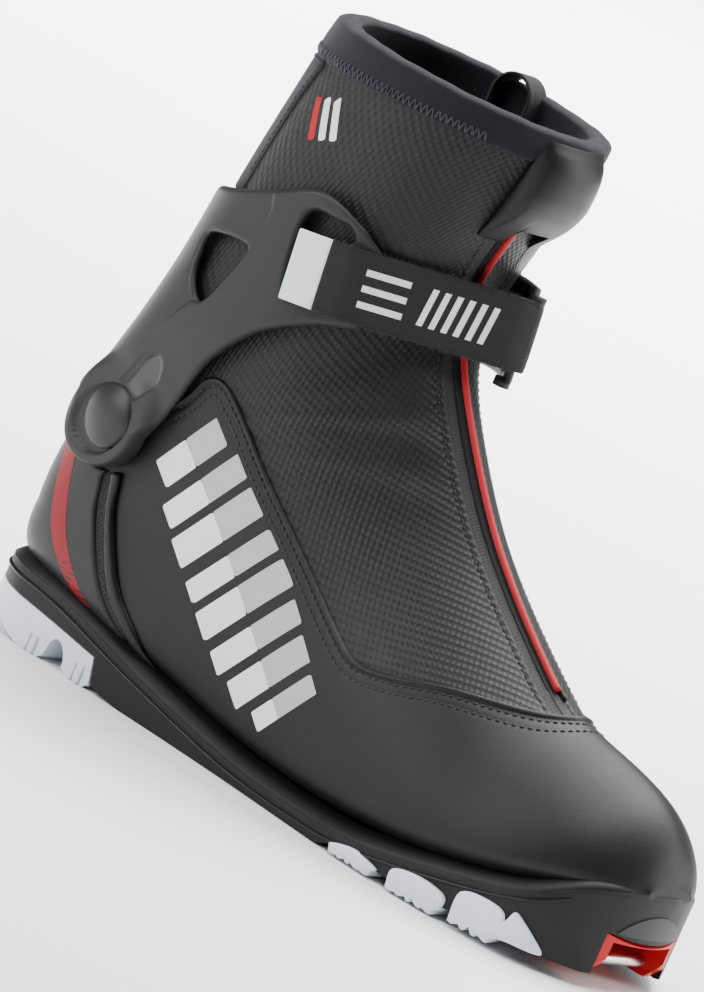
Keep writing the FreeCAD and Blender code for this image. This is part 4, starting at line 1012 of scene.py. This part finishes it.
strut_rise = 1.15 * strut_step * ease((1.02 - strut_share) / 0.35) * ease((40 - strut_away) / 30)
tilt = math.tan(PLATE_LEAN)
plate_height = np.clip((45.3 + tilt * (X - PIVOT[0]) - np.abs(Y))
                       / np.maximum(np.abs(OUT[..., 1]), 0.5), 3.5, 10)
plate_share = ease((25.0 - TO_PIVOT) / 8.0)
RECESS = [(50, 101.0), (52.5, 109), (56, 115.6), (60, 117), (62.6, 114.2), (63.4, 108.3), (61.6, 103.6),
          (56.5, 98.5)]
recess_area = within(curve(RECESS, 8, True))
facet = np.where(OUTER_SIDE, ease(recess_area / 1.3), 0.0)
dark_facet = within([(46.8, 102.4), (50, 102.0), (56, 115.6), (58.4, 119.6), (52.8, 114.4)])
cap_gap = ease((12.3 - TO_PIVOT) / 0.5)


def cuff_outer(patch):
    away = np.maximum(patch.column("field"), 0)
    share = patch.column("plate_share")
    level = (6.0 + patch.column("strut")) * (1 - share) + patch.column("plate") * share
    level = level - patch.column("facet") - 1.6 * patch.column("cap_gap") - 0.5 * patch.column("dark")
    rim = rounded(away, 1.8)
    return 4.5 + (level - 4.5) * rim


def cuff_inner(patch):
    away = np.maximum(patch.column("field"), 0)
    return 4.5 - 1.4 * rounded(away, 1.2)


def cuff_slots(patch):
    glossy = face_values(patch, "facet") > 0.6
    return glossy.astype(int)


cuff = shell("cuff_cover", cuff_field, cuff_outer, cuff_inner, [CUFF, GLOSS],
             (0.0, 0.15, 0.4, 0.8, 1.3, 1.9),
             (("strut", strut_rise), ("plate", plate_height), ("plate_share", plate_share), ("facet", facet),
              ("cap_gap", cap_gap), ("dark", ease(dark_facet / 0.8))), cuff_slots)
rides(cuff, "cuff", "cuff", slot="cuff_plastic")

# ---------------------------------------- pivot caps
CAP_ROUND = 64
for side_name, side in (("lateral", -1), ("medial", 1)):
    profile = [(11.6, -1.2), (11.6, 0.9), (11.3, 1.35), (10.6, 1.75), (9.5, 2.2), (7.5, 2.85),
               (5.0, 3.35), (2.5, 3.6), (0.0, 3.7)]
    out = np.array([-math.sin(PLATE_LEAN), side * math.cos(PLATE_LEAN), 0.0])
    along = np.array([math.cos(PLATE_LEAN), side * math.sin(PLATE_LEAN), 0.0])
    up = np.array([0.0, 0.0, 1.0])
    centre = np.array([PIVOT[0], side * 44.6, PIVOT[1]])
    points = []
    for radius, rise in profile[:-1]:
        for k in range(CAP_ROUND):
            angle = k / CAP_ROUND * 2 * math.pi
            points.append(centre + out * rise + radius * (along * math.cos(angle) + up * math.sin(angle)))
    points.append(centre + out * profile[-1][1])
    faces = grid_faces(len(profile) - 1, CAP_ROUND)
    last = (len(profile) - 2) * CAP_ROUND
    faces += [[last + k, last + (k + 1) % CAP_ROUND, len(points) - 1] for k in range(CAP_ROUND)]
    if side < 0:
        faces = [face[::-1] for face in faces]
    cap = make_mesh("cap_" + side_name, np.array(points), faces, [CAP])
    rides(cap, "cuff", "pivot_cap_" + side_name, slot="cuff_plastic")

# ---------------------------------------- strap, the end of the inner arm, hook patch
STRAP_TURN = math.radians(7)
STRAP_MIDDLE_Z = 171
FOLD_CENTRE = (153.6, 9.75)


def leaned(points):
    """Turn and lower points as the whole strap leans on the arm."""
    points = np.asarray(points, float)
    dx, dz = points[..., 0] - 113, points[..., 2] - STRAP_MIDDLE_Z
    return np.stack([113 + dx * math.cos(STRAP_TURN) - dz * math.sin(STRAP_TURN), points[..., 1],
                     168.4 + dx * math.sin(STRAP_TURN) + dz * math.cos(STRAP_TURN)], -1)


def path_frames(path):
    """Rounded plan path: points, inward directions and distances along it."""
    line = curve(path, 10)
    ahead = unit(np.gradient(line, axis=0))
    inward = np.stack([-ahead[:, 1], ahead[:, 0]], 1)
    spans = distances(line)
    return line, inward, spans


def plan_sweep(name, path, section, material, flip=1.0, frames=None):
    """Closed bar along a plan path; the section is (inward, z) round the bar."""
    line, inward, spans = frames if frames else path_frames(path)
    section = np.asarray(section, float)
    count, around = len(line), len(section)
    points = np.zeros((count, around, 3))
    points[..., :2] = line[:, None] + inward[:, None] * section[None, :, :1] * flip
    points[..., 2] = section[None, :, 1]
    faces = grid_faces(count, around)
    faces += [list(range(around))[::-1], [(count - 1) * around + k for k in range(around)]]
    if flip < 0:
        faces = [face[::-1] for face in faces]
    girth = distances(section)
    uv = np.stack(np.meshgrid(spans, girth, indexing="ij"), -1).reshape(-1, 2)
    return make_mesh(name, leaned(points).reshape(-1, 3), faces, [material], uv)


def rounded_box(low, high, z_low, z_high, radius, steps=4):
    """Rounded rectangle section, anticlockwise in (inward, z)."""
    corners = [(high - radius, z_low + radius, -90), (high - radius, z_high - radius, 0),
               (low + radius, z_high - radius, 90), (low + radius, z_low + radius, 180)]
    points = []
    for inward, z, angle in corners:
        for k in range(steps + 1):
            turn = math.radians(angle + 90 * k / steps)
            points.append((inward + radius * math.cos(turn), z + radius * math.sin(turn)))
    return points


def webbing_section(thickness, half=12.5):
    """Woven band: thin selvedges and a slightly full middle."""
    across = np.array([-12.5, -12.25, -11.7, -11.2, -10.6, -8, -4, 0, 4, 8, 10.6, 11.2, 11.7, 12.25,
                       12.5]) * half / 12.5
    outer = np.array([0.5, 0.22, 0.12, 0.2, 0.02, -0.06, -0.1, -0.1, -0.1, -0.06, 0.02, 0.2, 0.12, 0.22, 0.5])
    front = [(o, STRAP_MIDDLE_Z + a) for a, o in zip(across, outer)]
    return front[::-1] + [(thickness - 0.1, STRAP_MIDDLE_Z + a) for a in across[1:-1]]


tail_frames = path_frames(TAIL_PATH)
tail_line, tail_inward, tail_spans = tail_frames
split = int(np.argmax(tail_line[:, 0] > 110.5))
fold_centre = np.array(FOLD_CENTRE)
turn_angles = np.radians(np.linspace(-28, 118, 16))
fold_line = fold_centre + 4.6 * np.stack([np.cos(turn_angles), np.sin(turn_angles)], 1)
keep_to = int(np.argmax(tail_line[:, 0] > 157.0))
whole = np.vstack([tail_line[split:keep_to], fold_line[1:]])
whole_ahead = unit(np.gradient(whole, axis=0))
whole_spans = distances(whole)
whole_frames = (whole, np.stack([-whole_ahead[:, 1], whole_ahead[:, 0]], 1), whole_spans)
tail = plan_sweep("strap_band", None, webbing_section(1.4), WEBBING, frames=whole_frames)
rides(tail, "strap_tail", "strap_tail", slot="webbing")
tip_frames = (tail_line[:split + 1], tail_inward[:split + 1], tail_spans[:split + 1])
tip = plan_sweep("strap_end", None, rounded_box(-0.35, 1.5, 158.7, 183.3, 0.75), TIP, frames=tip_frames)
rides(tip, "strap_tail", "strap_tip", slot="white_tip")
base = plan_sweep("strap_fixed_band", BASE_PATH, webbing_section(1.2), WEBBING)
rides(base, "cuff", "strap_base", slot="webbing")
chosen = (tail_line[:, 0] > 126) & (tail_line[:, 0] < 147)
hook_patch = plan_sweep("hook_patch", None, rounded_box(1.42, 1.92, 160, 182, 0.2, 2), FLEECE,
                        frames=tuple(part[chosen] for part in tail_frames))
rides(hook_patch, "strap_tail", "strap_hook_patch", slot="hook")

# Prints and threads that lie on the strap's free end, placed by distance along it and height across it.


def on_strap(along, across, lift=0.16):
    x = np.interp(along, tail_spans, tail_line[:, 0])
    y = np.interp(along, tail_spans, tail_line[:, 1])
    ix = np.interp(along, tail_spans, tail_inward[:, 0])
    iy = np.interp(along, tail_spans, tail_inward[:, 1])
    return leaned(np.stack([x - ix * lift, y - iy * lift, STRAP_MIDDLE_Z + np.asarray(across, float)], -1))


def strap_print(name, quads, material):
    """Flat shapes on the strap from four sided outlines of (along, across)."""
    points, faces = [], []
    steps = np.linspace(0, 1, 9)
    for quad in quads:
        a, b, c, d = np.array(quad, float)
        s, t = np.meshgrid(steps, steps, indexing="ij")
        flat = (a * (1 - s[..., None]) * (1 - t[..., None]) + b * s[..., None] * (1 - t[..., None])
                + c * s[..., None] * t[..., None] + d * (1 - s[..., None]) * t[..., None])
        start = sum(len(block) for block in points)
        points.append(on_strap(flat[..., 0].ravel(), flat[..., 1].ravel()))
        faces += [[start + index for index in face]
                  for face in turned_over(grid_faces(9, 9, wrapped=False))]
    return make_mesh(name, np.vstack(points), faces, [material])


# Plain lines along the strap, then plain slanted bars.
marks = [[(28.5, low), (45.0, low), (45.0, low + 2.2), (28.5, low + 2.2)] for low in (-6.6, -1.1, 4.4)]
for number in range(6):
    left = 50.5 + number * 4.5
    marks.append([(left, -6.6), (left + 2.2, -6.6), (left + 4.6, 6.6), (left + 2.4, 6.6)])
strap_marks = strap_print("strap_print", marks, WHITE_PRINT)
rides(strap_marks, "strap_tail")

fuzz_starts, fuzz_ends, fuzz_outs = [], [], []
for number in range(420):
    along = RNG.uniform(tail_spans[split] + 2, tail_spans[-1] - 3)
    edge = RNG.choice([-12.4, 12.4])
    start = on_strap(along, edge, RNG.uniform(-1.2, 0.1))
    swing = np.array([RNG.normal(0, 0.5), RNG.normal(0, 0.5), math.copysign(RNG.uniform(0.3, 1.3), edge)])
    fuzz_starts.append(start)
    fuzz_ends.append(start + swing)
    fuzz_outs.append(np.array([0.5, -0.8, 0.2]))
rides(threads("strap_fuzz", fuzz_starts, fuzz_ends, fuzz_outs, 0.045, 0.25, THREAD, 3, 4), "strap_tail")

ARM_PATH = [(115, 46.4), (122, 42.6), (130, 36.2), (139, 27.5), (147.5, 18.6)]
arm_plate = plan_sweep("arm_end_plate", ARM_PATH, rounded_box(0.0, 3.0, 154.0, 188.0, 1.3), CUFF, -1.0)
rides(arm_plate, "cuff")
for number, (z_low, z_high) in enumerate(((154.0, 157.9), (184.1, 188.0))):
    fork = plan_sweep("arm_fork_%d" % number, [(146, 20.4), (150.5, 15.4), (154.8, 10.8)],
                      rounded_box(0.0, 3.0, z_low, z_high, 1.2), CUFF, -1.0)
    rides(fork, "cuff")
    knob = np.array([(*FOLD_CENTRE, z_low + 0.4), (*FOLD_CENTRE, z_high - 0.4)])
    rides(tube("arm_eye_%d" % number, knob, 3.0, CUFF, 32, outs=np.array([[1.0, 0, 0]] * 2)), "cuff")
bar_ends = leaned(np.array([(*FOLD_CENTRE, 154.4), (*FOLD_CENTRE, STRAP_MIDDLE_Z), (*FOLD_CENTRE, 187.6)]))
rides(tube("arm_bar", bar_ends, 1.7, CUFF, 20, outs=np.array([[1.0, 0, 0]] * 3)), "cuff")

# ---------------------------------------- collar: binding, rear panel, loop, zip garage
rim_point, rim_out = LAST[-1], OUT[-1]
rim_up = unit(LAST[-1] - LAST[-5])


def at_height(j, z):
    """Point and out direction on one column of the last at a height above the ground."""
    column = LAST[-120:, j, 2]
    k = int(np.argmax(column >= z))
    t = (z - column[k - 1]) / (column[k] - column[k - 1]) if k else 0.0
    a, b = ALONG - 120 + max(k - 1, 0), ALONG - 120 + k
    return LAST[a, j] * (1 - t) + LAST[b, j] * t, OUT[a, j] * (1 - t) + OUT[b, j] * t


binding_sections = []
wobble = 0.25 * np.sin(np.arange(ROUND) / ROUND * 2 * math.pi * 23) + 0.2 * np.sin(np.arange(ROUND) / 7.3)
for j in range(0, ROUND, 2):
    low, low_out = at_height(j, 230.6 + 0.5 * wobble[j])
    section = [low + 0.1 * low_out, low + 0.8 * low_out + 0.15 * rim_up[j],
               low + 1.15 * low_out + 0.8 * rim_up[j]]
    for share in (0.2, 0.4, 0.6, 0.8):
        point = low * (1 - share) + rim_point[j] * share
        section.append(point + (1.15 + 0.5 * math.sin(share * math.pi))
                       * (low_out * (1 - share) + rim_out[j] * share))
    for k in range(13):
        angle = math.pi * k / 12
        across = -3.2 + 4.35 * math.cos(angle)
        section.append(rim_point[j] + across * rim_out[j]
                       + (0.4 + wobble[j] * 0.4 + 2.0 * math.sin(angle)) * rim_up[j])
    inner, inner_out = at_height(j, 230.6)
    for share in (0.3, 0.65, 1.0):
        point = rim_point[j] * (1 - share) + inner * share
        section.append(point - (7.4 - 0.5 * math.sin(share * math.pi))
                       * (rim_out[j] * (1 - share) + inner_out * share))
    section.append(inner - 6.4 * inner_out)
    binding_sections.append(section)
binding_points = np.array(binding_sections)
count, depth = binding_points.shape[:2]
binding_faces = turned_over(grid_faces(count, depth, closed=True, wrapped=False))
girth = distances(binding_points[0])
round_mm = distances(binding_points[:, 5])
binding_uv = np.stack(np.meshgrid(round_mm, girth, indexing="ij"), -1).reshape(-1, 2)
binding = make_mesh("collar_binding_cover", binding_points.reshape(-1, 3), binding_faces, [BINDING],
                    binding_uv)
rides(binding, "cuff", "collar_binding", slot="binding")
zig_starts, zig_ends, zig_outs = [], [], []
zig_line = np.array([np.concatenate(at_height(j, 233.2)) for j in range(ROUND)])
zig_line = np.roll(zig_line, -60, 0)[:ROUND - 119]
zig_rows, zig_along = evenly(zig_line, 2.3, 1.0)
for number, (line_row, ahead) in enumerate(zip(zig_rows, zig_along)):
    raised = line_row[:3] + 1.5 * line_row[3:6]
    up_way = np.array([0, 0, 1.0])
    high, low = raised + up_way * 1.7, raised - up_way * 1.7 + RNG.normal(0, 0.15)
    zig_starts += [low - ahead * 1.1, high]
    zig_ends += [high, low + ahead * 1.2]
    zig_outs += [line_row[3:6]] * 2
rides(threads("binding_stitches", zig_starts, zig_ends, zig_outs, 0.3, 0.25, NAVY_THREAD), "cuff")

PANEL_FRONT = [(57, 180), (63, 213), (66, 222), (70, 231.2)]
panel_area = within(np.vstack([curve(PANEL_FRONT), [(-20, 231.2), (-20, 172), (57, 172)]]))
panel_field = np.minimum(panel_area, Z - 176.5)
panel = skin("rear_panel_cover", panel_field,
             lambda patch: rim_height(patch.column("field"), 0.15, 0.75, 1.2), [PANEL], (0.0, 0.4, 1.2))
rides(panel, "cuff", "collar_rear_panel", slot="stretch_panel")
panel_lines = [line[line[:, 2] > 184] for line in level_lines(np.where(Z > 178, panel_area, -AWAY), 1.8)]
rides(stitches("panel_stitches", [line for line in panel_lines if len(line) > 8], 2.4, 1.7, 0.25, 0.95,
               NAVY_THREAD), "cuff")

loop_angle = np.radians(np.linspace(180, 0, 25))
loop_path = np.vstack([[(83.6, 224), (83.6, 230), (83.6, 236)],
                       np.stack([92 + 8.4 * np.cos(loop_angle), 240 + 8.4 * np.sin(loop_angle)], 1),
                       [(100.4, 236), (100.4, 230), (100.4, 224)]])
loop_ahead = unit(np.gradient(loop_path, axis=0))
loop_out = np.stack([-loop_ahead[:, 1], loop_ahead[:, 0]], 1)
loop_section = [(0.55, -5.0), (0.62, -4.2), (0.5, -2.6), (0.62, -1.0), (0.62, 1.0), (0.5, 2.6),
                (0.62, 4.2), (0.55, 5.0), (-0.55, 5.0), (-0.6, 2.0), (-0.6, -2.0), (-0.55, -5.0)]
loop_points = np.array([[(p[0] + o[0] * lift, 37.4 + across, p[1] + o[1] * lift)
                         for lift, across in loop_section] for p, o in zip(loop_path, loop_out)])
around = len(loop_section)
loop_faces = turned_over(grid_faces(len(loop_path), around))
loop_spans = distances(loop_path)
loop_uv = np.stack(np.meshgrid(loop_spans, [y for _, y in loop_section], indexing="ij"), -1).reshape(-1, 2)
loop = make_mesh("pull_loop_ribbon", loop_points.reshape(-1, 3), loop_faces, [WEBBING], loop_uv)
rides(loop, "cuff", "pull_loop", slot="webbing")

garage_height = smooth([196, 199, 201, 204, 208, 212, 218, 224, 230, 235, 238.5, 240.5],
                       [2.0, 4.0, 8.0, 12.6, 14.5, 14.6, 12.9, 10.8, 8.4, 5.8, 3.2, 2.2], Z)
garage_share = np.clip(1 - (np.abs(Y) / 16.8)**3.2, 0, 1) ** 0.5
pocket_share = ease((8.6 - np.abs(Y - 1.5)) / 1.6)
garage_field = np.minimum.reduce([16.6 - np.abs(Y), Z - 199.5 - 2.0 * pocket_share, 240.0 - Z,
                                  crest_from(110)])


def garage_edge(patch):
    """Height of the rim, raised where the pull comes out of the pocket."""
    return 0.9 + 8.0 * patch.column("pocket") * ease((216 - patch.data[:, 2]) / 9)


def garage_full(patch):
    """Height of the middle, which falls off to both sides."""
    return patch.column("full") * (0.35 + 0.65 * patch.column("share"))


def garage_outer(patch):
    edge_height = garage_edge(patch)
    full = np.maximum(garage_full(patch), edge_height + 1.1)
    return edge_height + (full - edge_height) * rounded(patch.column("field"), 4.5)


def garage_inner(patch):
    edge_height = garage_edge(patch)
    deep = np.maximum(garage_full(patch) - 1.4, 0.3)
    inner = np.where(patch.column("pocket") > 0.5, deep, 0.3)
    return edge_height + (inner - edge_height) * ease(patch.column("field") / 3.0)


garage = shell("garage_cover", garage_field, garage_outer, garage_inner, [GARAGE],
               (0.0, 0.15, 0.5, 1.0, 1.8, 3.0, 4.5),
               (("full", garage_height), ("share", garage_share), ("pocket", pocket_share)))
rides(garage, "cuff", "zip_garage", slot="garage_rubber")

# ---------------------------------------- prints on the outer side
ALONG_WAY, ACROSS_WAY = np.array([0.79, -0.613]), np.array([0.613, 0.79])
print_s = (X - 80) * ALONG_WAY[0] + (Z - 92) * ALONG_WAY[1]
print_t = (X - 80) * ACROSS_WAY[0] + (Z - 92) * ACROSS_WAY[1]
bars = [(2.5, -15, 15.5, 5.3), (17.0, -19, 19.5, 4.6), (30.6, -20, 21, 5.6), (45.6, -20, 21, 4.2),
        (58.6, -20, 21, 5.4), (73.0, -19, 20, 4.6), (86.6, -16, 19, 5.2), (99.6, -10, 18, 3.8)]
white_field, silver_field = np.full(X.shape, -AWAY), np.full(X.shape, -AWAY)
for middle, low, high, half in bars:
    beside = half - np.abs(print_s - middle)
    lower = np.minimum.reduce([beside, print_t - low, -print_t])
    upper = np.minimum.reduce([beside, high - print_t, print_t])
    white_field, silver_field = np.maximum(white_field, lower), np.maximum(silver_field, upper)
keep_print = np.where(OUTER_SIDE, np.minimum.reduce([OVERLAY - 7.6, ABOVE_FEATHER - 8.5, X - 60]), -AWAY)
keep_print = np.minimum(keep_print, -within(np.vstack([front_line, [(-20, 15), (-20, 72)]])) - 3.4)
for name, field, material in (("side_print_white", white_field, WHITE_PRINT),
                              ("side_print_silver", silver_field, SILVER_PRINT)):
    bends(skin(name, np.minimum(field, keep_print), 0.8, [material]))

emblem_u, emblem_w = (X - 81.5) * 0.94 + (Z - 214) * 0.34, -(X - 81.5) * 0.34 + (Z - 214) * 0.94
emblem_half = 7.5 - np.abs(emblem_w)
red_bar = np.minimum(1.5 - np.abs(emblem_u + 4.8), emblem_half)
white_bars = np.minimum(1.5 - np.minimum(np.abs(emblem_u), np.abs(emblem_u - 4.8)), emblem_half)
for name, field, material in (("emblem_white", white_bars, WHITE_PRINT), ("emblem_red", red_bar, RED_PRINT)):
    decal = skin(name, np.where(OUTER_SIDE & (Z > 195), field, -AWAY),
                 lambda patch: 0.1 + patch.column("soft"), [material], extra=(("soft", SOFTNESS),))
    rides(decal, "cuff")

# ---------------------------------------- sole: rand, seam line, lug teeth, toe wedge
def plan_side(side, margin):
    """One edge of the sole in plan, as in the CAD, from the heel to the toe tip."""
    points = []
    heel_width = smooth(FOOT_X, FOOT_WIDTH[side], 40.0) + margin
    toe_width = smooth(FOOT_X, FOOT_WIDTH[side], 262.0) + margin
    for degrees in (15, 30, 45, 60, 75):
        angle = math.radians(degrees)
        points.append((40 - (31 + margin) * math.cos(angle), heel_width * math.sin(angle)))
    for x in (45, 70, 100, 130, 160, 190, 215, 240, 262):
        points.append((x, smooth(FOOT_X, FOOT_WIDTH[side], x) + margin))
    for degrees in (66, 50, 36, 22, 9):
        angle = math.radians(degrees)
        points.append((262 + (42.5 + margin / 2) * math.cos(angle) ** (2 / 2.05),
                       toe_width * math.sin(angle) ** (2 / 2.05)))
    return [(x, side * y) for x, y in points]


def plan_ring(margin):
    ends = [(9.0 - margin, 0.0)], [(304.5 + margin / 2, 0.0)]
    return curve(ends[0] + plan_side(-1, margin) + ends[1] + plan_side(1, margin)[::-1], 12, True)


feather_z = curve(FEATHER, 12)
ring_plan = plan_ring(1.6)
ring_z = np.interp(ring_plan[:, 0], feather_z[:, 0], feather_z[:, 1])
ring_ahead = unit(np.roll(ring_plan, -1, 0) - np.roll(ring_plan, 1, 0))
ring_out = np.stack([ring_ahead[:, 1], -ring_ahead[:, 0]], 1)
strip = []
for place, z, outward in zip(ring_plan, ring_z, ring_out):
    reach = 9.0 - 4.0 * float(ease((place[0] - 270) / 30))
    top = np.array([*(place - reach * outward), z + 4.4 - 1.6 * float(ease((place[0] - 270) / 30))])
    foot = np.array([*(place + 0.05 * outward), z - 1.6])
    knee = np.array([*(place + 0.25 * outward), z + 2.6])
    for t in (0.0, 0.12, 0.24, 0.36, 0.5, 0.64, 0.78, 0.9, 1.0):
        strip.append(foot * (1 - t)**2 + knee * 2 * t * (1 - t) + top * t**2)
strip = np.array(strip).reshape(len(ring_plan), 9, 3)
strip_faces = turned_over(grid_faces(len(strip), 9, closed=True, wrapped=False))
rand = make_mesh("sole_rand", strip.reshape(-1, 3), strip_faces, [SOLE])
rides(rand, "root")
seam_points = np.array([[*(place + 0.45 * outward), z - 3.4]
                        for place, z, outward in zip(ring_plan, ring_z, ring_out)])
chosen = seam_points[:, 0] < 292
first = int(np.argmax(~chosen))
seam_run = np.roll(seam_points, -first, 0)[np.roll(chosen, -first)]
rides(tube("sole_seam_line", seam_run, 0.5, LIP, 8), "root")

wall = plan_ring(2.4)


def on_wall(x, side):
    """Plan point of the side wall at a distance along the boot, and the way out of it."""
    half = wall[:len(wall) // 2] if side < 0 else wall[len(wall) // 2:][::-1]
    order = np.argsort(half[:, 0])
    y = np.interp(x, half[order, 0], half[order, 1])
    slope = (np.interp(x + 1, half[order, 0], half[order, 1])
             - np.interp(x - 1, half[order, 0], half[order, 1])) / 2
    out = np.array([-slope * side, side, 0.0])
    return np.array([x, y]), out / np.linalg.norm(out)


def pad(name, side, outline, lift, depth, material):
    """Rounded raised pad on the side wall from a side view outline."""
    outline = curve(outline, 5, True)
    middle = outline.mean(0)
    rings = [(1.0, -depth), (1.0, lift * 0.35), (0.97, lift * 0.75), (0.9, lift), (0.5, lift * 1.05)]
    points, count = [], len(outline)
    for scale, height in rings:
        for x, z in middle + (outline - middle) * scale:
            place, out = on_wall(x, side)
            points.append(np.array([*place, z]) + out * height)
    place, out = on_wall(middle[0], side)
    points.append(np.array([*place, middle[1]]) + out * lift * 1.05)
    faces = grid_faces(len(rings), count)
    last = (len(rings) - 1) * count
    faces += [[last + k, last + (k + 1) % count, last + count] for k in range(count)]
    faces.append(list(range(count))[::-1])
    if side > 0:
        faces = [face[::-1] for face in faces]
    return make_mesh(name, np.array(points), faces, [material])


TEETH = [(206, 227, 1.0, 6.2, 5), (233, 255, 0.9, 10.0, 5), (259, 277, 1.9, 14.6, 4)]
for side_name, side in (("outer", -1), ("inner", 1)):
    for number, (x_from, x_to, low, high, teeth) in enumerate(TEETH):
        step = (x_to - x_from) / teeth
        outline = [(x_from + 0.6, high - 2.2), (x_from + 0.2, low + 1.4)]
        for k in range(teeth):
            left = x_from + k * step
            outline += [(left + step * 0.18, low), (left + step * 0.6, low), (left + step * 0.82, low + 2.2)]
        outline += [(x_to + 0.2, low + 2.6), (x_to - 0.4, high - 1.6), ((x_from + x_to) / 2, high)]
        lug = pad("lug_%s_%d" % (side_name, number), side, outline, 0.85, 20.0, TREAD)
        if lug.name == "lug_outer_0":
            rides(lug, "root", "forefoot_tread", slot="white_rubber")
        else:
            rides(lug, "root")
    wedge = pad("toe_wedge_" + side_name, side,
                [(272.5, 4.6), (281, 5.1), (290.5, 5.6), (288, 9.6), (282.5, 14.2), (279.5, 15.2),
                 (277.6, 11)], 0.7, 1.5, TREAD)
    rides(wedge, "root")
    for number, (x, z) in enumerate(((46, 2.2), (49.5, 2.0), (70.5, 2.0), (74, 2.2))):
        notch = pad("heel_tooth_%s_%d" % (side_name, number), side,
                    [(x - 1.2, z - 1.6), (x + 1.2, z - 1.6), (x + 1.3, z + 3.5), (x, z + 4.6),
                     (x - 1.3, z + 3.5)], 0.5, 3.0, TREAD)
        rides(notch, "root")

# ---------------------------------------- CAD nodes that are shown, and their materials
NODE_LOOKS = {"outsole": SOLE, "nose_insert": NOSE, "toe_bar_housing": RED, "toe_bar": STEEL,
              "forefoot_tread": TREAD, "heel_tread": TREAD, "lasting_board": FOAM,
              "lace_eyelets": STEEL, "pivot_bosses": COUNTER, "pivot_pins": STEEL,
              "strap_anchor_rivet": STEEL, "zip_slider": DARK_METAL, "zip_pull": DARK_METAL}
for node, look in NODE_LOOKS.items():
    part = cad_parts[node]
    part.data.materials.clear()
    part.data.materials.append(look)
    if node in ("outsole", "toe_bar_housing", "forefoot_tread", "heel_tread", "nose_insert"):
        bevel = part.modifiers.new("edge", "BEVEL")
        bevel.width, bevel.segments, bevel.limit_method = 0.00045, 2, "ANGLE"
        bevel.angle_limit = math.radians(38)
        bevel.use_clamp_overlap = True

# ---------------------------------------- floor, light and camera
floor_data = bpy.data.meshes.new("floor")
floor_data.from_pydata([(-14, -14, 0), (14, -14, 0), (14, 14, 0), (-14, 14, 0)], [], [(0, 1, 2, 3)])
floor = bpy.data.objects.new("floor", floor_data)
bpy.context.scene.collection.objects.link(floor)
floor_data.materials.append(Look("floor", (0.86, 0.86, 0.86), 0.9).done())

world = bpy.data.worlds.new("studio")
bpy.context.scene.world = world
world.use_nodes = True
world.node_tree.nodes["Background"].inputs["Color"].default_value = (1, 1, 1, 1)
world.node_tree.nodes["Background"].inputs["Strength"].default_value = 0.14

AZIMUTH, ELEVATION, ROLL = math.radians(36), math.radians(9.6), math.radians(23.57)
right = np.array([math.cos(AZIMUTH), math.sin(AZIMUTH), 0])
back = np.array([math.sin(AZIMUTH) * math.cos(ELEVATION), -math.cos(AZIMUTH) * math.cos(ELEVATION),
                 math.sin(ELEVATION)])
up = np.cross(back, right)
rolled_right = math.cos(ROLL) * right + math.sin(ROLL) * up
rolled_up = -math.sin(ROLL) * right + math.cos(ROLL) * up
target = np.array([150.0, 0.0, 118.0]) - 27.4 * rolled_right - 6.8 * rolled_up
camera_at = row(target + back * 2200)[0]
camera_data = bpy.data.cameras.new("camera")
camera_data.lens, camera_data.sensor_width, camera_data.clip_end = 236.2, 36.0, 60.0
camera = bpy.data.objects.new("camera", camera_data)
turned = Matrix((rolled_right, rolled_up, back)).transposed()
camera.matrix_world = Matrix.Translation(Vector(camera_at)) @ turned.to_4x4()
bpy.context.scene.collection.objects.link(camera)
bpy.context.scene.camera = camera


def softbox(name, sideways, height, towards, size, power, spread=180):
    """Area light placed by the camera's own directions, facing the boot."""
    data = bpy.data.lights.new(name, "AREA")
    data.shape, data.size, data.size_y, data.energy = "RECTANGLE", size[0], size[1], power
    data.spread = math.radians(spread)
    lamp = bpy.data.objects.new(name, data)
    flat_back = np.array([math.sin(AZIMUTH), -math.cos(AZIMUTH), 0])
    where = sideways * right + towards * flat_back + np.array([0, 0, height])
    lamp.location = Vector(where)
    aim = Vector((0, 0, 0.11)) - lamp.location
    lamp.rotation_mode = "QUATERNION"
    lamp.rotation_quaternion = aim.to_track_quat("-Z", "Y")
    bpy.context.scene.collection.objects.link(lamp)
    return lamp


softbox("left_key", -1.5, 0.9, 0.5, (0.9, 1.4), 30)
softbox("right_rim", 1.6, 0.8, -0.3, (0.7, 1.4), 26)
softbox("top_fill", -0.2, 2.2, 0.2, (1.6, 1.2), 60)
for name, sideways, towards, power in (("floor_light_near", 0.0, -1.6, 150),
                                       ("floor_light_far", 0.0, -3.6, 190)):
    lamp = softbox(name, sideways, 2.0, towards, (3.2, 1.6), power, 110)
    lamp.rotation_quaternion = (1, 0, 0, 0)
